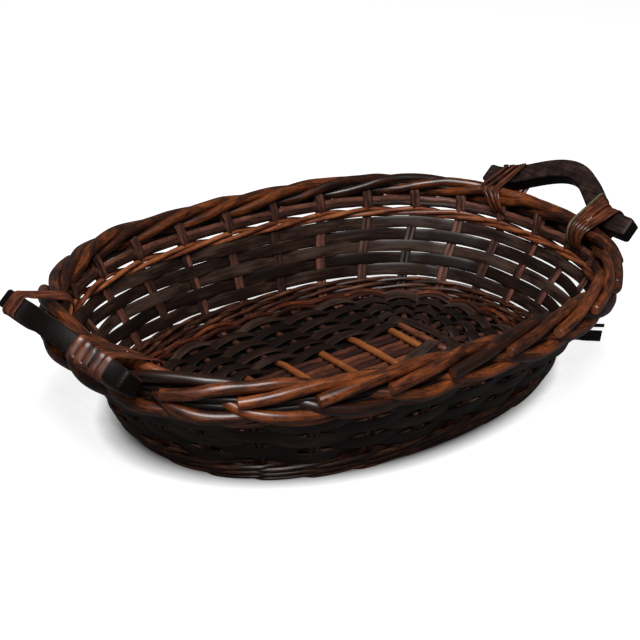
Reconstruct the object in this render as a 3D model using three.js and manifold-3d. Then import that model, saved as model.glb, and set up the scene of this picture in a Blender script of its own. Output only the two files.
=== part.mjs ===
// Oval wicker tray: a stake-and-strand basket with a plaited border and two lashed wooden handles.
//
// Millimetres, +Z up. The origin is under the middle of the tray, on the surface that it stands on.
// +X runs along the tray, through the handles, and +Y runs across it.
//
// The tray is built as a basket maker builds it. Straight sticks cross in the middle of the floor and
// fan out as spokes. Flat splints are woven round them. A stake is set against the end of each spoke,
// bends up at the foot and carries the wall: round reeds at the foot, flat splints, two waling reeds.
// Each stake then folds down behind its neighbour, and a three-strand plait caps the edge. The
// handles rest on the plait and are bound to it with four coils of skein.

import * as THREE from 'three';
import { mergeVertices } from 'three/addons/utils/BufferGeometryUtils.js';
import Module from 'manifold-3d';

const wasm = await Module();
wasm.setup();

// ---------------------------------------------------------------- driving dimensions

const clearance = 0.3; // air between pieces that touch
const squareness = 2.4; // exponent of the oval: 2 is an ellipse, more is squarer

const sticksBesideMiddle = 3; // long sticks, and cross sticks, on each side of the middle one
const stickDiameter = 5;
const longStickPitch = 6.4;
const crossStickPitch = 33;
const endStickPitch = 12; // between the last two cross sticks at each end
const stickBite = 0.4; // how deep a cross stick is notched onto the long ones
const crossStickRamp = 5.3; // run over which a cross stick comes down to the floor's mid-plane
const endMargin = 2.9; // bare floor outside the last cross stick

const floorSplintRows = 8;
const floorSplintWidth = 8.1;
const floorSplintGap = 0.45;
const openSpacing = 12.5; // spokes closer together than this are passed as one
const splintThickness = 0.8;

const footReedRows = 3; // on the floor, inside the foot
const reedDiameter = 2.8;
const reedGap = 0.45;
const upsettRows = 2; // on the wall, above the reed in the bend

const stakeWidth = 7; // two split rods side by side
const stakeThickness = 3;
const stakeLeg = 24; // lies in the floor, inside the foot
const stakeBunching = 0.0095; // how far the stakes draw together at the ends, as a share of the edge

const endLean = 22.8; // degrees from upright at the ends of the tray
const sideLean = 19.1; // degrees from upright along its sides

const wallSplintRows = 5;
const wallSplintWidth = 8.1;
const wallSplintGap = 0.45;
const waleRows = 2;
const waleDiameter = 3.2;

const lashingSlot = 3.8; // open band of the wall that the lashings pass through
const tailHeight = 5;
const tailOverrun = 5; // how far a tail runs on behind the next stake

const plaitStrand = 6; // diameter of one strand
const plaitHalfWidth = 6.5; // sideways swing of a strand's centre
const plaitHalfDepth = 4.3; // swing of a strand's centre across the plait
const plaitPeriods = 8; // even, so that the two halves of the border match
const plaitOverhang = 1.7; // how far the plait's centre hangs outside the wall

const handleWidth = 15; // in the plane of the arch
const handleThickness = 12.4;
const handleLength = 143; // from foot to foot
const handleRise = 26.3; // of the arch's centreline above its feet
const archHalfSpan = 62;
const handleTilt = 45; // degrees that the arch leans out from upright
const handleSeatGap = 2.5; // between the plait and a foot at its lashing
const handleOutset = 9.4; // of the foot's middle from the plait's middle, down the plait's slope
const handleBevel = 1.2;

const lashingTurns = 4;
const lashingPitch = 5.2;
const skeinWidth = 3.6;
const skeinThickness = 0.8;
const lashingPlace = 51; // of a coil's middle from the middle of the handle

// ---------------------------------------------------------------- worked-out sizes

const radians = THREE.MathUtils.degToRad;
const up = new THREE.Vector3(0, 0, 1);

const spokesPerQuarter = 2 * sticksBesideMiddle + 1;
const stakeCount = 4 * spokesPerQuarter;
const stickRadius = stickDiameter / 2;
const stakeHalf = stakeThickness / 2;

// How far the middle of a strand stands off the surface that it weaves through.
const splintOverStick = stickRadius + clearance + splintThickness;
const reedOverLeg = stakeHalf + 2 * clearance + reedDiameter / 2;
const reedOverStake = stakeHalf + clearance + reedDiameter / 2;
const splintOverStake = stakeHalf + clearance + splintThickness / 2;
const waleOverStake = stakeHalf + clearance + waleDiameter / 2;

// The reed in the bend sits outside and below one stake, then inside and above the next.
const bendOut = 0.6;
const bendDown = 0.85;
const overBend = stakeHalf * 1.25 + clearance + reedDiameter * 0.7;
const floorMid = Math.max(overBend * bendDown, reedOverLeg) + reedDiameter / 2;

// Stack of the floor, from its middle out to the foot.
const reedPitch = reedDiameter + reedGap;
const floorSplintPitch = floorSplintWidth + floorSplintGap;
const bendInset = overBend * bendOut + reedPitch;
const footBand = bendInset + footReedRows * reedPitch - reedPitch / 2;
const floorDepth = floorSplintRows * floorSplintPitch + footBand;
const outerLongStick = sticksBesideMiddle * longStickPitch;
const outerCrossStick = (sticksBesideMiddle - 1) * crossStickPitch + endStickPitch;
const weaveStart = {
  x: outerCrossStick + stickRadius + endMargin,
  y: outerLongStick + stickRadius + crossStickRamp,
};
const foot = { x: weaveStart.x + floorDepth, y: weaveStart.y + floorDepth };
const lean = { x: Math.tan(radians(endLean)), y: Math.tan(radians(sideLean)) };

// Stack of the wall, as heights above the floor's mid-plane.
const firstUpsett = overBend * bendDown + reedPitch;
const splintFloor = firstUpsett + (upsettRows - 0.5) * reedPitch;
const wallSplintPitch = wallSplintWidth + wallSplintGap;
const waleFloor = splintFloor + wallSplintRows * wallSplintPitch;
const walePitch = waleDiameter + clearance;
const tailFloor = waleFloor + waleRows * walePitch + lashingSlot;
const tailTop = tailFloor + tailHeight;

const plaitRadius = plaitStrand / 2;
const plaitDepth = plaitHalfDepth + plaitRadius;
const plaitReach = plaitRadius + Math.hypot(plaitHalfWidth, plaitHalfDepth) * 0.96;

// ---------------------------------------------------------------- the oval

const signedPower = (value, power) => Math.sign(value) * Math.abs(value) ** power;

// A point of the oval with half-axes of 1, at a share of the foot's edge, counted from +X.
const unitOval = (() => {
  const steps = 2880;
  const points = [];
  const lengths = [0];
  for (let i = 0; i <= steps; i++) {
    const angle = (2 * Math.PI * i) / steps;
    const power = 2 / squareness;
    points.push({ x: signedPower(Math.cos(angle), power), y: signedPower(Math.sin(angle), power) });
    if (i > 0) {
      const dx = (points[i].x - points[i - 1].x) * foot.x;
      const dy = (points[i].y - points[i - 1].y) * foot.y;
      lengths.push(lengths[i - 1] + Math.hypot(dx, dy));
    }
  }
  return (share) => {
    const length = THREE.MathUtils.euclideanModulo(share, 1) * lengths[steps];
    let low = 0;
    let high = steps;
    while (high - low > 1) {
      const middle = (low + high) >> 1;
      if (lengths[middle] <= length) low = middle;
      else high = middle;
    }
    const blend = (length - lengths[low]) / (lengths[high] - lengths[low]);
    const x = THREE.MathUtils.lerp(points[low].x, points[high].x, blend);
    const y = THREE.MathUtils.lerp(points[low].y, points[high].y, blend);
    const size = (Math.abs(x) ** squareness + Math.abs(y) ** squareness) ** (1 / squareness);
    return { x: x / size, y: y / size };
  };
})();

// Share of the edge at which a stake stands. The number may be a fraction, between two stakes.
function stakeShare(stake) {
  const turn = stake / stakeCount;
  return turn - stakeBunching * Math.sin(4 * Math.PI * turn);
}

// Place and directions on the wall's middle surface, at a height above the floor's mid-plane:
// along the wall, out of it, and up its slope.
function onWall(stake, height) {
  const unit = unitOval(stakeShare(stake));
  const half = { x: foot.x + lean.x * height, y: foot.y + lean.y * height };
  const power = squareness - 1;
  const plan = new THREE.Vector3(
    signedPower(unit.x, power) / half.x,
    signedPower(unit.y, power) / half.y,
    0,
  ).normalize();
  const slope = plan.x * lean.x * unit.x + plan.y * lean.y * unit.y;
  const along = up.clone().cross(plan);
  const out = plan.clone().addScaledVector(up, -slope).normalize();
  return {
    place: new THREE.Vector3(half.x * unit.x, half.y * unit.y, floorMid + height),
    plan,
    along,
    out,
    rise: out.clone().cross(along),
  };
}

const moved = (point, ...steps) => {
  const result = point.clone();
  for (const [direction, distance] of steps) result.addScaledVector(direction, distance);
  return result;
};

// ---------------------------------------------------------------- solids

// A closed solid through sections that are lists of the same number of points. A ring joins its last
// section to its first, and an open length gets a fan of faces at each end.
function loft(sections, isRing) {
  const sides = sections[0].length;
  const points = sections.flat();
  const faces = [];
  const spans = isRing ? sections.length : sections.length - 1;
  for (let span = 0; span < spans; span++) {
    const here = span * sides;
    const next = ((span + 1) % sections.length) * sides;
    for (let side = 0; side < sides; side++) {
      const other = (side + 1) % sides;
      faces.push(here + side, next + side, next + other);
      faces.push(here + side, next + other, here + other);
    }
  }
  if (!isRing) {
    for (const [section, first, turn] of [
      [sections[0], 0, 1],
      [sections.at(-1), (sections.length - 1) * sides, -1],
    ]) {
      const middle = points.length;
      const centre = new THREE.Vector3();
      for (const point of section) centre.addScaledVector(point, 1 / sides);
      points.push(centre);
      for (let side = 0; side < sides; side++) {
        const pair = [first + side, first + ((side + 1) % sides)];
        faces.push(middle, ...(turn > 0 ? pair : pair.reverse()));
      }
    }
  }
  return facingOut(points, faces);
}

function facingOut(points, faces) {
  let volume = 0;
  for (let i = 0; i < faces.length; i += 3) {
    const [a, b, c] = [points[faces[i]], points[faces[i + 1]], points[faces[i + 2]]];
    volume += a.dot(b.clone().cross(c));
  }
  if (volume < 0) faces.reverse();
  const geometry = new THREE.BufferGeometry().setFromPoints(points);
  geometry.setIndex(faces);
  geometry.computeVertexNormals();
  return geometry;
}

function toManifold(geometry) {
  const bare = new THREE.BufferGeometry();
  bare.setAttribute('position', geometry.getAttribute('position').clone());
  bare.setIndex(geometry.getIndex());
  const merged = mergeVertices(bare, 1e-4);
  return new wasm.Manifold(
    new wasm.Mesh({
      numProp: 3,
      vertProperties: new Float32Array(merged.getAttribute('position').array),
      triVerts: new Uint32Array(merged.getIndex().array),
    }),
  );
}

function fuse(geometries) {
  const solid = geometries.map(toManifold).reduce((whole, piece) => whole.add(piece));
  const mesh = solid.getMesh();
  const geometry = new THREE.BufferGeometry();
  const points = new Float32Array(mesh.vertProperties);
  geometry.setAttribute('position', new THREE.BufferAttribute(points, 3));
  geometry.setIndex(new THREE.BufferAttribute(new Uint32Array(mesh.triVerts), 1));
  geometry.computeVertexNormals();
  return geometry;
}

// Outline of a round rod as a polygon with a flat at the bottom.
function roundSection(radius, sides) {
  const outline = [];
  for (let side = 0; side < sides; side++) {
    const angle = (2 * Math.PI * (side + 0.5)) / sides - Math.PI / 2;
    outline.push([radius * Math.cos(angle), radius * Math.sin(angle)]);
  }
  return outline;
}

function boxSection(width, depth) {
  return [
    [-width / 2, -depth / 2],
    [width / 2, -depth / 2],
    [width / 2, depth / 2],
    [-width / 2, depth / 2],
  ];
}

// Two split rods side by side, with a groove between them.
const stakeSection = [
  [-stakeWidth / 2, 0],
  [-stakeWidth / 4, -stakeHalf],
  [0, -stakeHalf * 0.4],
  [stakeWidth / 4, -stakeHalf],
  [stakeWidth / 2, 0],
  [stakeWidth / 4, stakeHalf],
  [0, stakeHalf * 0.4],
  [-stakeWidth / 4, stakeHalf],
];

const placeSection = (outline, centre, across, through) =>
  outline.map(([u, v]) => moved(centre, [across, u], [through, v]));

// ---------------------------------------------------------------- floor

// Where the spoke of a stake leaves the crossed sticks.
function spokeStart(stake) {
  const quarter = ((stake % stakeCount) + stakeCount) % stakeCount;
  const isFarHalf = quarter > spokesPerQuarter + sticksBesideMiddle &&
    quarter <= stakeCount - sticksBesideMiddle - 1;
  const turned = isFarHalf ? quarter - 2 * spokesPerQuarter : quarter;
  const side = isFarHalf ? -1 : 1;
  const local = turned > stakeCount / 2 ? turned - stakeCount : turned;
  if (Math.abs(local) <= sticksBesideMiddle) {
    return new THREE.Vector3(side * weaveStart.x, side * local * longStickPitch, floorMid);
  }
  const place = crossStickPlace(spokesPerQuarter - local);
  return new THREE.Vector3(side * place, side * weaveStart.y, floorMid);
}

function crossStickPlace(stick) {
  const steps = Math.abs(stick);
  const place = steps < sticksBesideMiddle ? steps * crossStickPitch : outerCrossStick;
  return Math.sign(stick) * place;
}

// A place along a spoke, 0 at the crossed sticks and 1 at the foot.
function onSpoke(stake, share) {
  return spokeStart(stake).lerp(onWall(stake, 0).place, share);
}

// For each spoke, whether a row passes over it (+1) or under it (-1). Rows change sides at each gap
// that is wide enough to weave through, and follow one another in turn on the middle cross stick.
function floorSides(row, share) {
  const sides = [1];
  for (let stake = 1; stake < stakeCount; stake++) {
    const gap = onSpoke(stake, share).distanceTo(onSpoke(stake - 1, share));
    sides.push(gap < openSpacing ? sides[stake - 1] : -sides[stake - 1]);
  }
  const turn = sides[spokesPerQuarter] * (row % 2 === 0 ? 1 : -1);
  return sides.map((side) => side * turn);
}

// A strand of the floor. Its edges run between the spokes, so it narrows where they draw together.
function floorRing(row, inset, width, thickness, standOff) {
  const middle = 1 - inset / floorDepth;
  const half = width / 2 / floorDepth;
  const lift = thickness / 2;
  const sections = floorSides(row, middle).map((side, stake) => {
    const inner = moved(onSpoke(stake, middle - half), [up, standOff * side]);
    const outer = moved(onSpoke(stake, middle + half), [up, standOff * side]);
    return [
      moved(inner, [up, -lift]),
      moved(outer, [up, -lift]),
      moved(outer, [up, lift]),
      moved(inner, [up, lift]),
    ];
  });
  return loft(sections, true);
}

// Six-sided stick through points in the floor, square to its path in plan.
function stick(points) {
  const outline = roundSection(stickRadius, 6);
  const sections = points.map((point, i) => {
    const before = points[Math.max(i - 1, 0)];
    const after = points[Math.min(i + 1, points.length - 1)];
    const across = up.clone().cross(after.clone().sub(before).setZ(0)).normalize();
    return placeSection(outline, point, across, up);
  });
  return loft(sections, false);
}

// A stake's leg and the stick in line with it meet end to end.
const legTip = (stake) => onSpoke(stake, 1 - stakeLeg / floorDepth);

function stickTip(stake) {
  const inward = spokeStart(stake).sub(legTip(stake)).normalize();
  return moved(legTip(stake), [inward, clearance]);
}

function crossedSticks() {
  const opposite = (point) => new THREE.Vector3(-point.x, -point.y, point.z);
  const sticks = [];
  for (let i = -sticksBesideMiddle; i <= sticksBesideMiddle; i++) {
    const end = [stickTip(i), spokeStart(i)];
    sticks.push(stick([...end, ...[stickTip(-i), spokeStart(-i)].reverse().map(opposite)]));
  }
  const flatToFlat = 2 * stickRadius * Math.cos(Math.PI / 6);
  const raised = floorMid + flatToFlat - stickBite;
  for (let i = -sticksBesideMiddle; i <= sticksBesideMiddle; i++) {
    const stake = spokesPerQuarter - i;
    const mirrored = spokesPerQuarter + i;
    const x = crossStickPlace(i);
    const edge = outerLongStick + stickRadius;
    sticks.push(
      stick([
        stickTip(stake),
        spokeStart(stake),
        new THREE.Vector3(x, edge, raised),
        new THREE.Vector3(x, -edge, raised),
        opposite(spokeStart(mirrored)),
        opposite(stickTip(mirrored)),
      ]),
    );
  }
  return fuse(sticks);
}

// ---------------------------------------------------------------- wall

const stakeSide = (stake, row) => ((stake + row) % 2 === 0 ? 1 : -1);

// The places on the wall at the two edges of a stake.
function besideStake(stake, height) {
  const { place } = onWall(stake, height);
  return [-1, 1].map((way) => {
    const reach = stakeWidth / 2 / onWall(stake + way, height).place.distanceTo(place);
    return onWall(stake + way * reach, height);
  });
}

// A strand of the wall, level across each stake and crossing to the other face before the next.
function wallRing(row, height, standOff, outline) {
  const sections = [];
  for (let stake = 0; stake < stakeCount; stake++) {
    const { out, rise } = onWall(stake, height);
    for (const here of besideStake(stake, height)) {
      const centre = moved(here.place, [here.out, standOff * stakeSide(stake, row)]);
      sections.push(placeSection(outline, centre, rise, out));
    }
  }
  return loft(sections, true);
}

// The reed in the bend keeps level flats underneath: the tray stands on them.
function bendReed() {
  const sections = [];
  for (let stake = 0; stake < stakeCount; stake++) {
    const shift = overBend * stakeSide(stake, 1);
    const { plan } = onWall(stake, 0);
    for (const here of besideStake(stake, 0)) {
      const centre = moved(here.place, [here.plan, bendOut * shift], [up, -bendDown * shift]);
      sections.push(placeSection(boxSection(reedDiameter, reedDiameter), centre, plan, up));
    }
  }
  return loft(sections, true);
}

// One stake: its leg in the floor, the post in the wall, and the tail behind its neighbour. The tail
// folds over level, leaves its own post, and drifts inward until it passes inside the next one.
function stakeSolid(stake) {
  const base = onWall(stake, 0);
  const inward = spokeStart(stake).sub(base.place).normalize();
  const acrossLeg = inward.clone().cross(up);
  const bisector = base.out.clone().sub(up).normalize();
  const stretch = 1 / bisector.dot(base.out);
  const bend = stakeSection.map(([u, v]) => [u, v * stretch]);
  const spacing = base.place.distanceTo(onWall(stake - 1, 0).place);
  const passing = (stakeWidth / 2 + clearance) / spacing;
  const drift = (stakeThickness + clearance) / (1 - passing);
  return loft(
    [
      placeSection(stakeSection, legTip(stake), acrossLeg, up.clone().negate()),
      placeSection(bend, base.place, base.along, bisector),
      foldSection(stake),
      tailSection(stake, 1 - passing, drift),
      tailSection(stake, 1 + tailOverrun / spacing, drift),
    ],
    false,
  );
}

const tailHeightAt = (u) => tailFloor + (u / stakeWidth + 0.5) * tailHeight;

function foldSection(stake) {
  return stakeSection.map(([u, v]) => {
    const frame = onWall(stake, tailHeightAt(u));
    return moved(frame.place, [frame.along, u], [frame.out, v]);
  });
}

function tailSection(stake, share, drift) {
  return stakeSection.map(([u, v]) => {
    const frame = onWall(stake - share, tailHeightAt(u));
    return moved(frame.place, [frame.out, v - drift * share]);
  });
}

// ---------------------------------------------------------------- border

// Centre of the plait beside a stake number, with the directions down its slope and across it. It
// leans out at 45 degrees and rests on the folds of the stakes.
function plaitFrame(stake) {
  const { place, plan } = onWall(stake, tailTop);
  const slope = plan.clone().sub(up).normalize();
  const across = plan.clone().add(up).normalize();
  const centre = moved(place, [slope, plaitOverhang], [across, plaitDepth + clearance]);
  return { centre, slope, across };
}

function plaitPoint(stake, strand) {
  const { centre, slope, across } = plaitFrame(stake);
  const phase = 2 * Math.PI * ((plaitPeriods * stake) / stakeCount + strand / 3);
  return moved(
    centre,
    [slope, plaitHalfWidth * Math.sin(phase)],
    [across, plaitHalfDepth * Math.sin(2 * phase)],
  );
}

function plaitStrandSolid(strand) {
  const steps = plaitPeriods * 10;
  const outline = roundSection(plaitRadius, 5);
  const sections = [];
  for (let i = 0; i < steps; i++) {
    const stake = (i * stakeCount) / steps;
    const centre = plaitPoint(stake, strand);
    const ahead = plaitPoint(stake + 0.01, strand).sub(plaitPoint(stake - 0.01, strand)).normalize();
    const { slope } = plaitFrame(stake);
    const side = slope.clone().addScaledVector(ahead, -slope.dot(ahead)).normalize();
    sections.push(placeSection(outline, centre, side, ahead.clone().cross(side)));
  }
  return loft(sections, true);
}

// ---------------------------------------------------------------- handles and lashings

const archRise = (y) =>
  Math.abs(y) < archHalfSpan ? handleRise * 0.5 * (1 + Math.cos((Math.PI * y) / archHalfSpan)) : 0;
const archSlope = (y) => archRise(y + 0.5) - archRise(y - 0.5);

// Half-axis lengths of the plait's centre oval, and a point of it at a given distance across.
const plaitEnd = plaitFrame(0).centre;
const plaitSide = plaitFrame(spokesPerQuarter).centre;
function plaitAcross(y) {
  const share = 1 - Math.abs(y / plaitSide.y) ** squareness;
  return new THREE.Vector3(plaitEnd.x * share ** (1 / squareness), y, plaitEnd.z);
}

// Directions of the handle's plane at the +X end: up the arch, and through its thickness.
const archUp = new THREE.Vector3(Math.sin(radians(handleTilt)), 0, Math.cos(radians(handleTilt)));
const archThrough = new THREE.Vector3(archUp.z, 0, -archUp.x);
const handleSeat = plaitDepth + handleSeatGap + handleWidth / 2 - archRise(lashingPlace);
const handleOrigin = moved(
  plaitAcross(lashingPlace).setY(0),
  [archUp, handleSeat],
  [archThrough, handleOutset],
);

function handleSolid() {
  const steps = 20;
  const edges = { inner: [], outer: [] };
  for (let i = 0; i <= steps; i++) {
    const y = handleLength * (i / steps - 0.5);
    const half = (handleWidth / 2) * Math.hypot(1, archSlope(y));
    edges.inner.push(new THREE.Vector2(y, archRise(y) - half));
    edges.outer.push(new THREE.Vector2(y, archRise(y) + half));
  }
  const shape = new THREE.Shape([...edges.inner, ...edges.outer.reverse()]);
  const geometry = new THREE.ExtrudeGeometry(shape, {
    depth: handleThickness - 2 * handleBevel,
    bevelThickness: handleBevel,
    bevelSize: handleBevel,
    bevelOffset: -handleBevel,
    bevelSegments: 1,
  });
  return geometry.translate(0, 0, handleBevel - handleThickness / 2);
}

// What a lashing binds, cut across at a distance from the handle's middle: corners, and the plait as
// a circle. The lashing is drawn tight round the hull of these.
function boundShapes(y) {
  const shapes = [];
  const half = (handleWidth / 2) * Math.hypot(1, archSlope(y));
  for (const edge of [-half, half]) {
    for (const face of [-handleThickness / 2, handleThickness / 2]) {
      shapes.push({
        centre: moved(handleOrigin, [archUp, archRise(y) + edge], [archThrough, face]),
        radius: 0,
      });
    }
  }
  const ahead = plaitAcross(y + 0.5).sub(plaitAcross(y - 0.5));
  const stretch = ahead.length() / Math.abs(ahead.y);
  shapes.push({ centre: plaitAcross(y), radius: plaitReach * stretch });
  const tailInside = 2.5 * stakeThickness * stretch;
  for (const height of [tailFloor, tailTop]) {
    const x = (foot.x + lean.x * height) *
      (1 - Math.abs(y / (foot.y + lean.y * height)) ** squareness) ** (1 / squareness);
    shapes.push({ centre: new THREE.Vector3(x - tailInside, y, floorMid + height), radius: 0 });
  }
  return shapes;
}

// The point that a tight band touches, in a direction square to Y, moved off by the clearance.
function hullPoint(y, out) {
  const reach = ({ centre, radius }) => centre.dot(out) + radius;
  const touched = boundShapes(y).reduce((best, shape) => (reach(shape) > reach(best) ? shape : best));
  return moved(touched.centre, [out, touched.radius + clearance]).setY(y);
}

// Directions in which a turn of skein is laid, in degrees: close together where it turns over the
// corners of the handle, then evenly round the plait and the tail, back to the start.
function windDirections() {
  const corner = 7.5;
  const first = handleTilt - 90;
  const directions = [first + corner, handleTilt - corner, handleTilt + corner];
  const steps = 9;
  const sweep = 270 - 2 * corner;
  for (let step = 1; step <= steps; step++) {
    directions.push(handleTilt + corner + (sweep * step) / steps);
  }
  return directions;
}

function lashingSolid(side) {
  const directions = windDirections();
  const steps = lashingTurns * directions.length;
  const sections = [];
  for (let i = 0; i <= steps; i++) {
    const angle = radians(directions[i % directions.length]);
    const out = new THREE.Vector3(Math.cos(angle), 0, Math.sin(angle));
    const y = side * (lashingPlace + lashingPitch * (i / directions.length - lashingTurns / 2));
    const edges = [hullPoint(y - skeinWidth / 2, out), hullPoint(y + skeinWidth / 2, out)];
    sections.push([
      ...edges,
      moved(edges[1], [out, skeinThickness]),
      moved(edges[0], [out, skeinThickness]),
    ]);
  }
  return loft(sections, false);
}

// ---------------------------------------------------------------- assembly

function wicker(color, roughness) {
  return new THREE.MeshStandardMaterial({ color, roughness, metalness: 0 });
}

const finishes = {
  stake: wicker('#5a332b', 0.55),
  stick: wicker('#7a4a2c', 0.5),
  splint: wicker('#3a241d', 0.6),
  reed: wicker('#6b3a22', 0.5),
  plait: wicker('#7b4424', 0.35),
  handle: wicker('#241713', 0.5),
  skein: wicker('#7a3a26', 0.4),
};

const basket = new THREE.Group();

function add(name, geometry, material, parent = basket) {
  const mesh = new THREE.Mesh(geometry, material);
  mesh.name = name;
  parent.add(mesh);
  return mesh;
}

const numbered = (name, number) => `${name}_${String(number + 1).padStart(2, '0')}`;

add('crossed_sticks', crossedSticks(), finishes.stick);
for (let row = 0; row < floorSplintRows; row++) {
  const inset = floorDepth - (row + 0.5) * floorSplintPitch;
  const ring = floorRing(row, inset, floorSplintWidth, splintThickness, splintOverStick);
  add(numbered('floor_splint', row), ring, finishes.splint);
}
for (let row = 0; row < footReedRows; row++) {
  const inset = bendInset + (footReedRows - 1 - row) * reedPitch;
  const ring = floorRing(row + floorSplintRows, inset, reedDiameter, reedDiameter, reedOverLeg);
  add(numbered('floor_reed', row), ring, finishes.reed);
}
for (let stake = 0; stake < stakeCount; stake++) {
  add(numbered('stake', stake), stakeSolid(stake), finishes.stake);
}

add('bend_reed', bendReed(), finishes.reed);
for (let row = 0; row < upsettRows; row++) {
  const outline = boxSection(reedDiameter, reedDiameter);
  const ring = wallRing(row, firstUpsett + row * reedPitch, reedOverStake, outline);
  add(numbered('upsett_reed', row), ring, finishes.reed);
}
for (let row = 0; row < wallSplintRows; row++) {
  const height = splintFloor + (row + 0.5) * wallSplintPitch;
  const outline = boxSection(wallSplintWidth, splintThickness);
  const ring = wallRing(row + upsettRows, height, splintOverStake, outline);
  add(numbered('wall_splint', row), ring, finishes.splint);
}
for (let row = 0; row < waleRows; row++) {
  const height = waleFloor + (row + 0.5) * walePitch;
  const ring = wallRing(row + 1, height, waleOverStake, roundSection(waleDiameter / 2, 5));
  add(numbered('wale_reed', row), ring, finishes.reed);
}
for (let strand = 0; strand < 3; strand++) {
  add(numbered('border_strand', strand), plaitStrandSolid(strand), finishes.plait);
}

// Each end of the tray is the same assembly, turned half a turn.
for (const [name, turn] of [['right', 0], ['left', Math.PI]]) {
  const end = new THREE.Group();
  end.rotation.z = turn;
  basket.add(end);
  const handle = add(`handle_${name}`, handleSolid(), finishes.handle, end);
  const axes = new THREE.Matrix4().makeBasis(new THREE.Vector3(0, 1, 0), archUp, archThrough);
  handle.quaternion.setFromRotationMatrix(axes);
  handle.position.copy(handleOrigin);
  add(`lashing_${name}_far`, lashingSolid(1), finishes.skein, end);
  add(`lashing_${name}_near`, lashingSolid(-1), finishes.skein, end);
}

export default basket;
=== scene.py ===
"""Oval wicker tray with two bent-wood handles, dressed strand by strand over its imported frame.

The tray is woven here as a basket maker weaves it: crossed sticks and spokes in the floor, flat
splints round them, stakes that bend up into the wall, twined reeds, a row of turned-down tails, a
plaited border of thick rods, and two bent-wood handles bound on with skein. Lengths are
millimetres until a mesh is made. +X runs through the handles and +Z is up. A stake number counts
round the edge from +X, counter-clockwise from above, and a fraction lies between two stakes.
"""

import logging
import math
from dataclasses import dataclass, field
from enum import Enum
from typing import Any, ClassVar, Sequence

import bmesh
import bpy
import numpy as np
from mathutils import Matrix


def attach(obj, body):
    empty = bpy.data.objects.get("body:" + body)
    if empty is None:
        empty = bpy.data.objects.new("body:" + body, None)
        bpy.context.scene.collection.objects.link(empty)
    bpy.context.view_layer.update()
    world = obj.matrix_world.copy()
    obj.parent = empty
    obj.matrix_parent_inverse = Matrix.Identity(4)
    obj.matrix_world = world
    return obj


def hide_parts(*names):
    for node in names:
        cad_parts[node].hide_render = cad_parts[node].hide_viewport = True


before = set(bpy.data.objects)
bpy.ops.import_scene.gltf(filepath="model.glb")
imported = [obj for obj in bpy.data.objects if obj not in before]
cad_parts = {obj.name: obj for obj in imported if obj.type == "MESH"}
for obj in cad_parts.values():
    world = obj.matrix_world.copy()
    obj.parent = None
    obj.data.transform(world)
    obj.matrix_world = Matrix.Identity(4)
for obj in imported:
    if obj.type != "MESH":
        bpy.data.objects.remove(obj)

log = logging.getLogger("tray")

UP = np.array([0.0, 0.0, 1.0])
# Carries a place half round the tray's middle.
HALF_TURN = np.array([-1.0, -1.0, 1.0])
MM = 0.001
# Seeds of what differs from one handmade strand to the next.
TAIL_SEED, ROD_SEED, STAIN_SEED = 900, 400, 40
# Values between which most of a noise pattern lies.
NOISE_LOW, NOISE_HIGH = 0.3, 0.7
# Of varnish and wood.
IOR = 1.5


# ------------------------------------------------------------------------------ small geometry


def unit(vectors: np.ndarray) -> np.ndarray:
    """Returns the vectors with a length of one."""
    return vectors / np.linalg.norm(vectors, axis=-1, keepdims=True)


def column(value: Any) -> np.ndarray:
    """Returns a number, or a run of them, as a column."""
    return np.reshape(np.asarray(value, dtype=float), (-1, 1))


def smooth_curve(points: Sequence[Sequence[float]], steps: int, closed: bool = False) -> np.ndarray:
    """Runs a smooth curve through points.

    Args:
        points: The points that the curve passes, of any dimension.
        steps: Samples from one point to the next.
        closed: Whether the curve runs back to its first point.

    Returns:
        One row for each sample. An open curve includes its last point.
    """
    given = np.asarray(points, dtype=float)
    if closed:
        padded = np.vstack([given[-1:], given, given[:2]])
    else:
        padded = np.vstack([2 * given[0] - given[1], given, 2 * given[-1] - given[-2]])
    before, start, end, after = padded[:-3], padded[1:-2], padded[2:-1], padded[3:]
    share = (np.arange(steps) / steps)[None, :, None]
    before, start, end, after = (part[:, None, :] for part in (before, start, end, after))
    curve = 0.5 * (
        2 * start
        + (end - before) * share
        + (2 * before - 5 * start + 4 * end - after) * share**2
        + (3 * start - before - 3 * end + after) * share**3
    )
    curve = curve.reshape(-1, given.shape[1])
    return curve if closed else np.vstack([curve, given[-1:]])


def round_outline(radius: float, sides: int = 10) -> np.ndarray:
    """Returns the outline of a round rod."""
    turn = 2 * np.pi * np.arange(sides) / sides
    return radius * np.stack([np.cos(turn), np.sin(turn)], axis=1)


def splint_outline(width: float, thickness: float) -> np.ndarray:
    """Draws the section of a flat splint with softened edges, a little crowned on both faces.

    Args:
        width: Of the splint.
        thickness: Of the splint.

    Returns:
        The outline's points, across and through.
    """
    half, deep = width / 2, thickness / 2
    # The edge is upright in its middle third, and the crown is level over the middle of the width.
    side = [(half, -deep * 0.35), (half, deep * 0.35), (half - deep * 0.8, deep * 0.85)]
    top = [(half * 0.4, deep), (-half * 0.4, deep)]
    mirrored = [(-across, through) for across, through in reversed(side)]
    upper = side[1:] + top + mirrored[:2]
    return np.array(upper + [(-across, -through) for across, through in upper])


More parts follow.
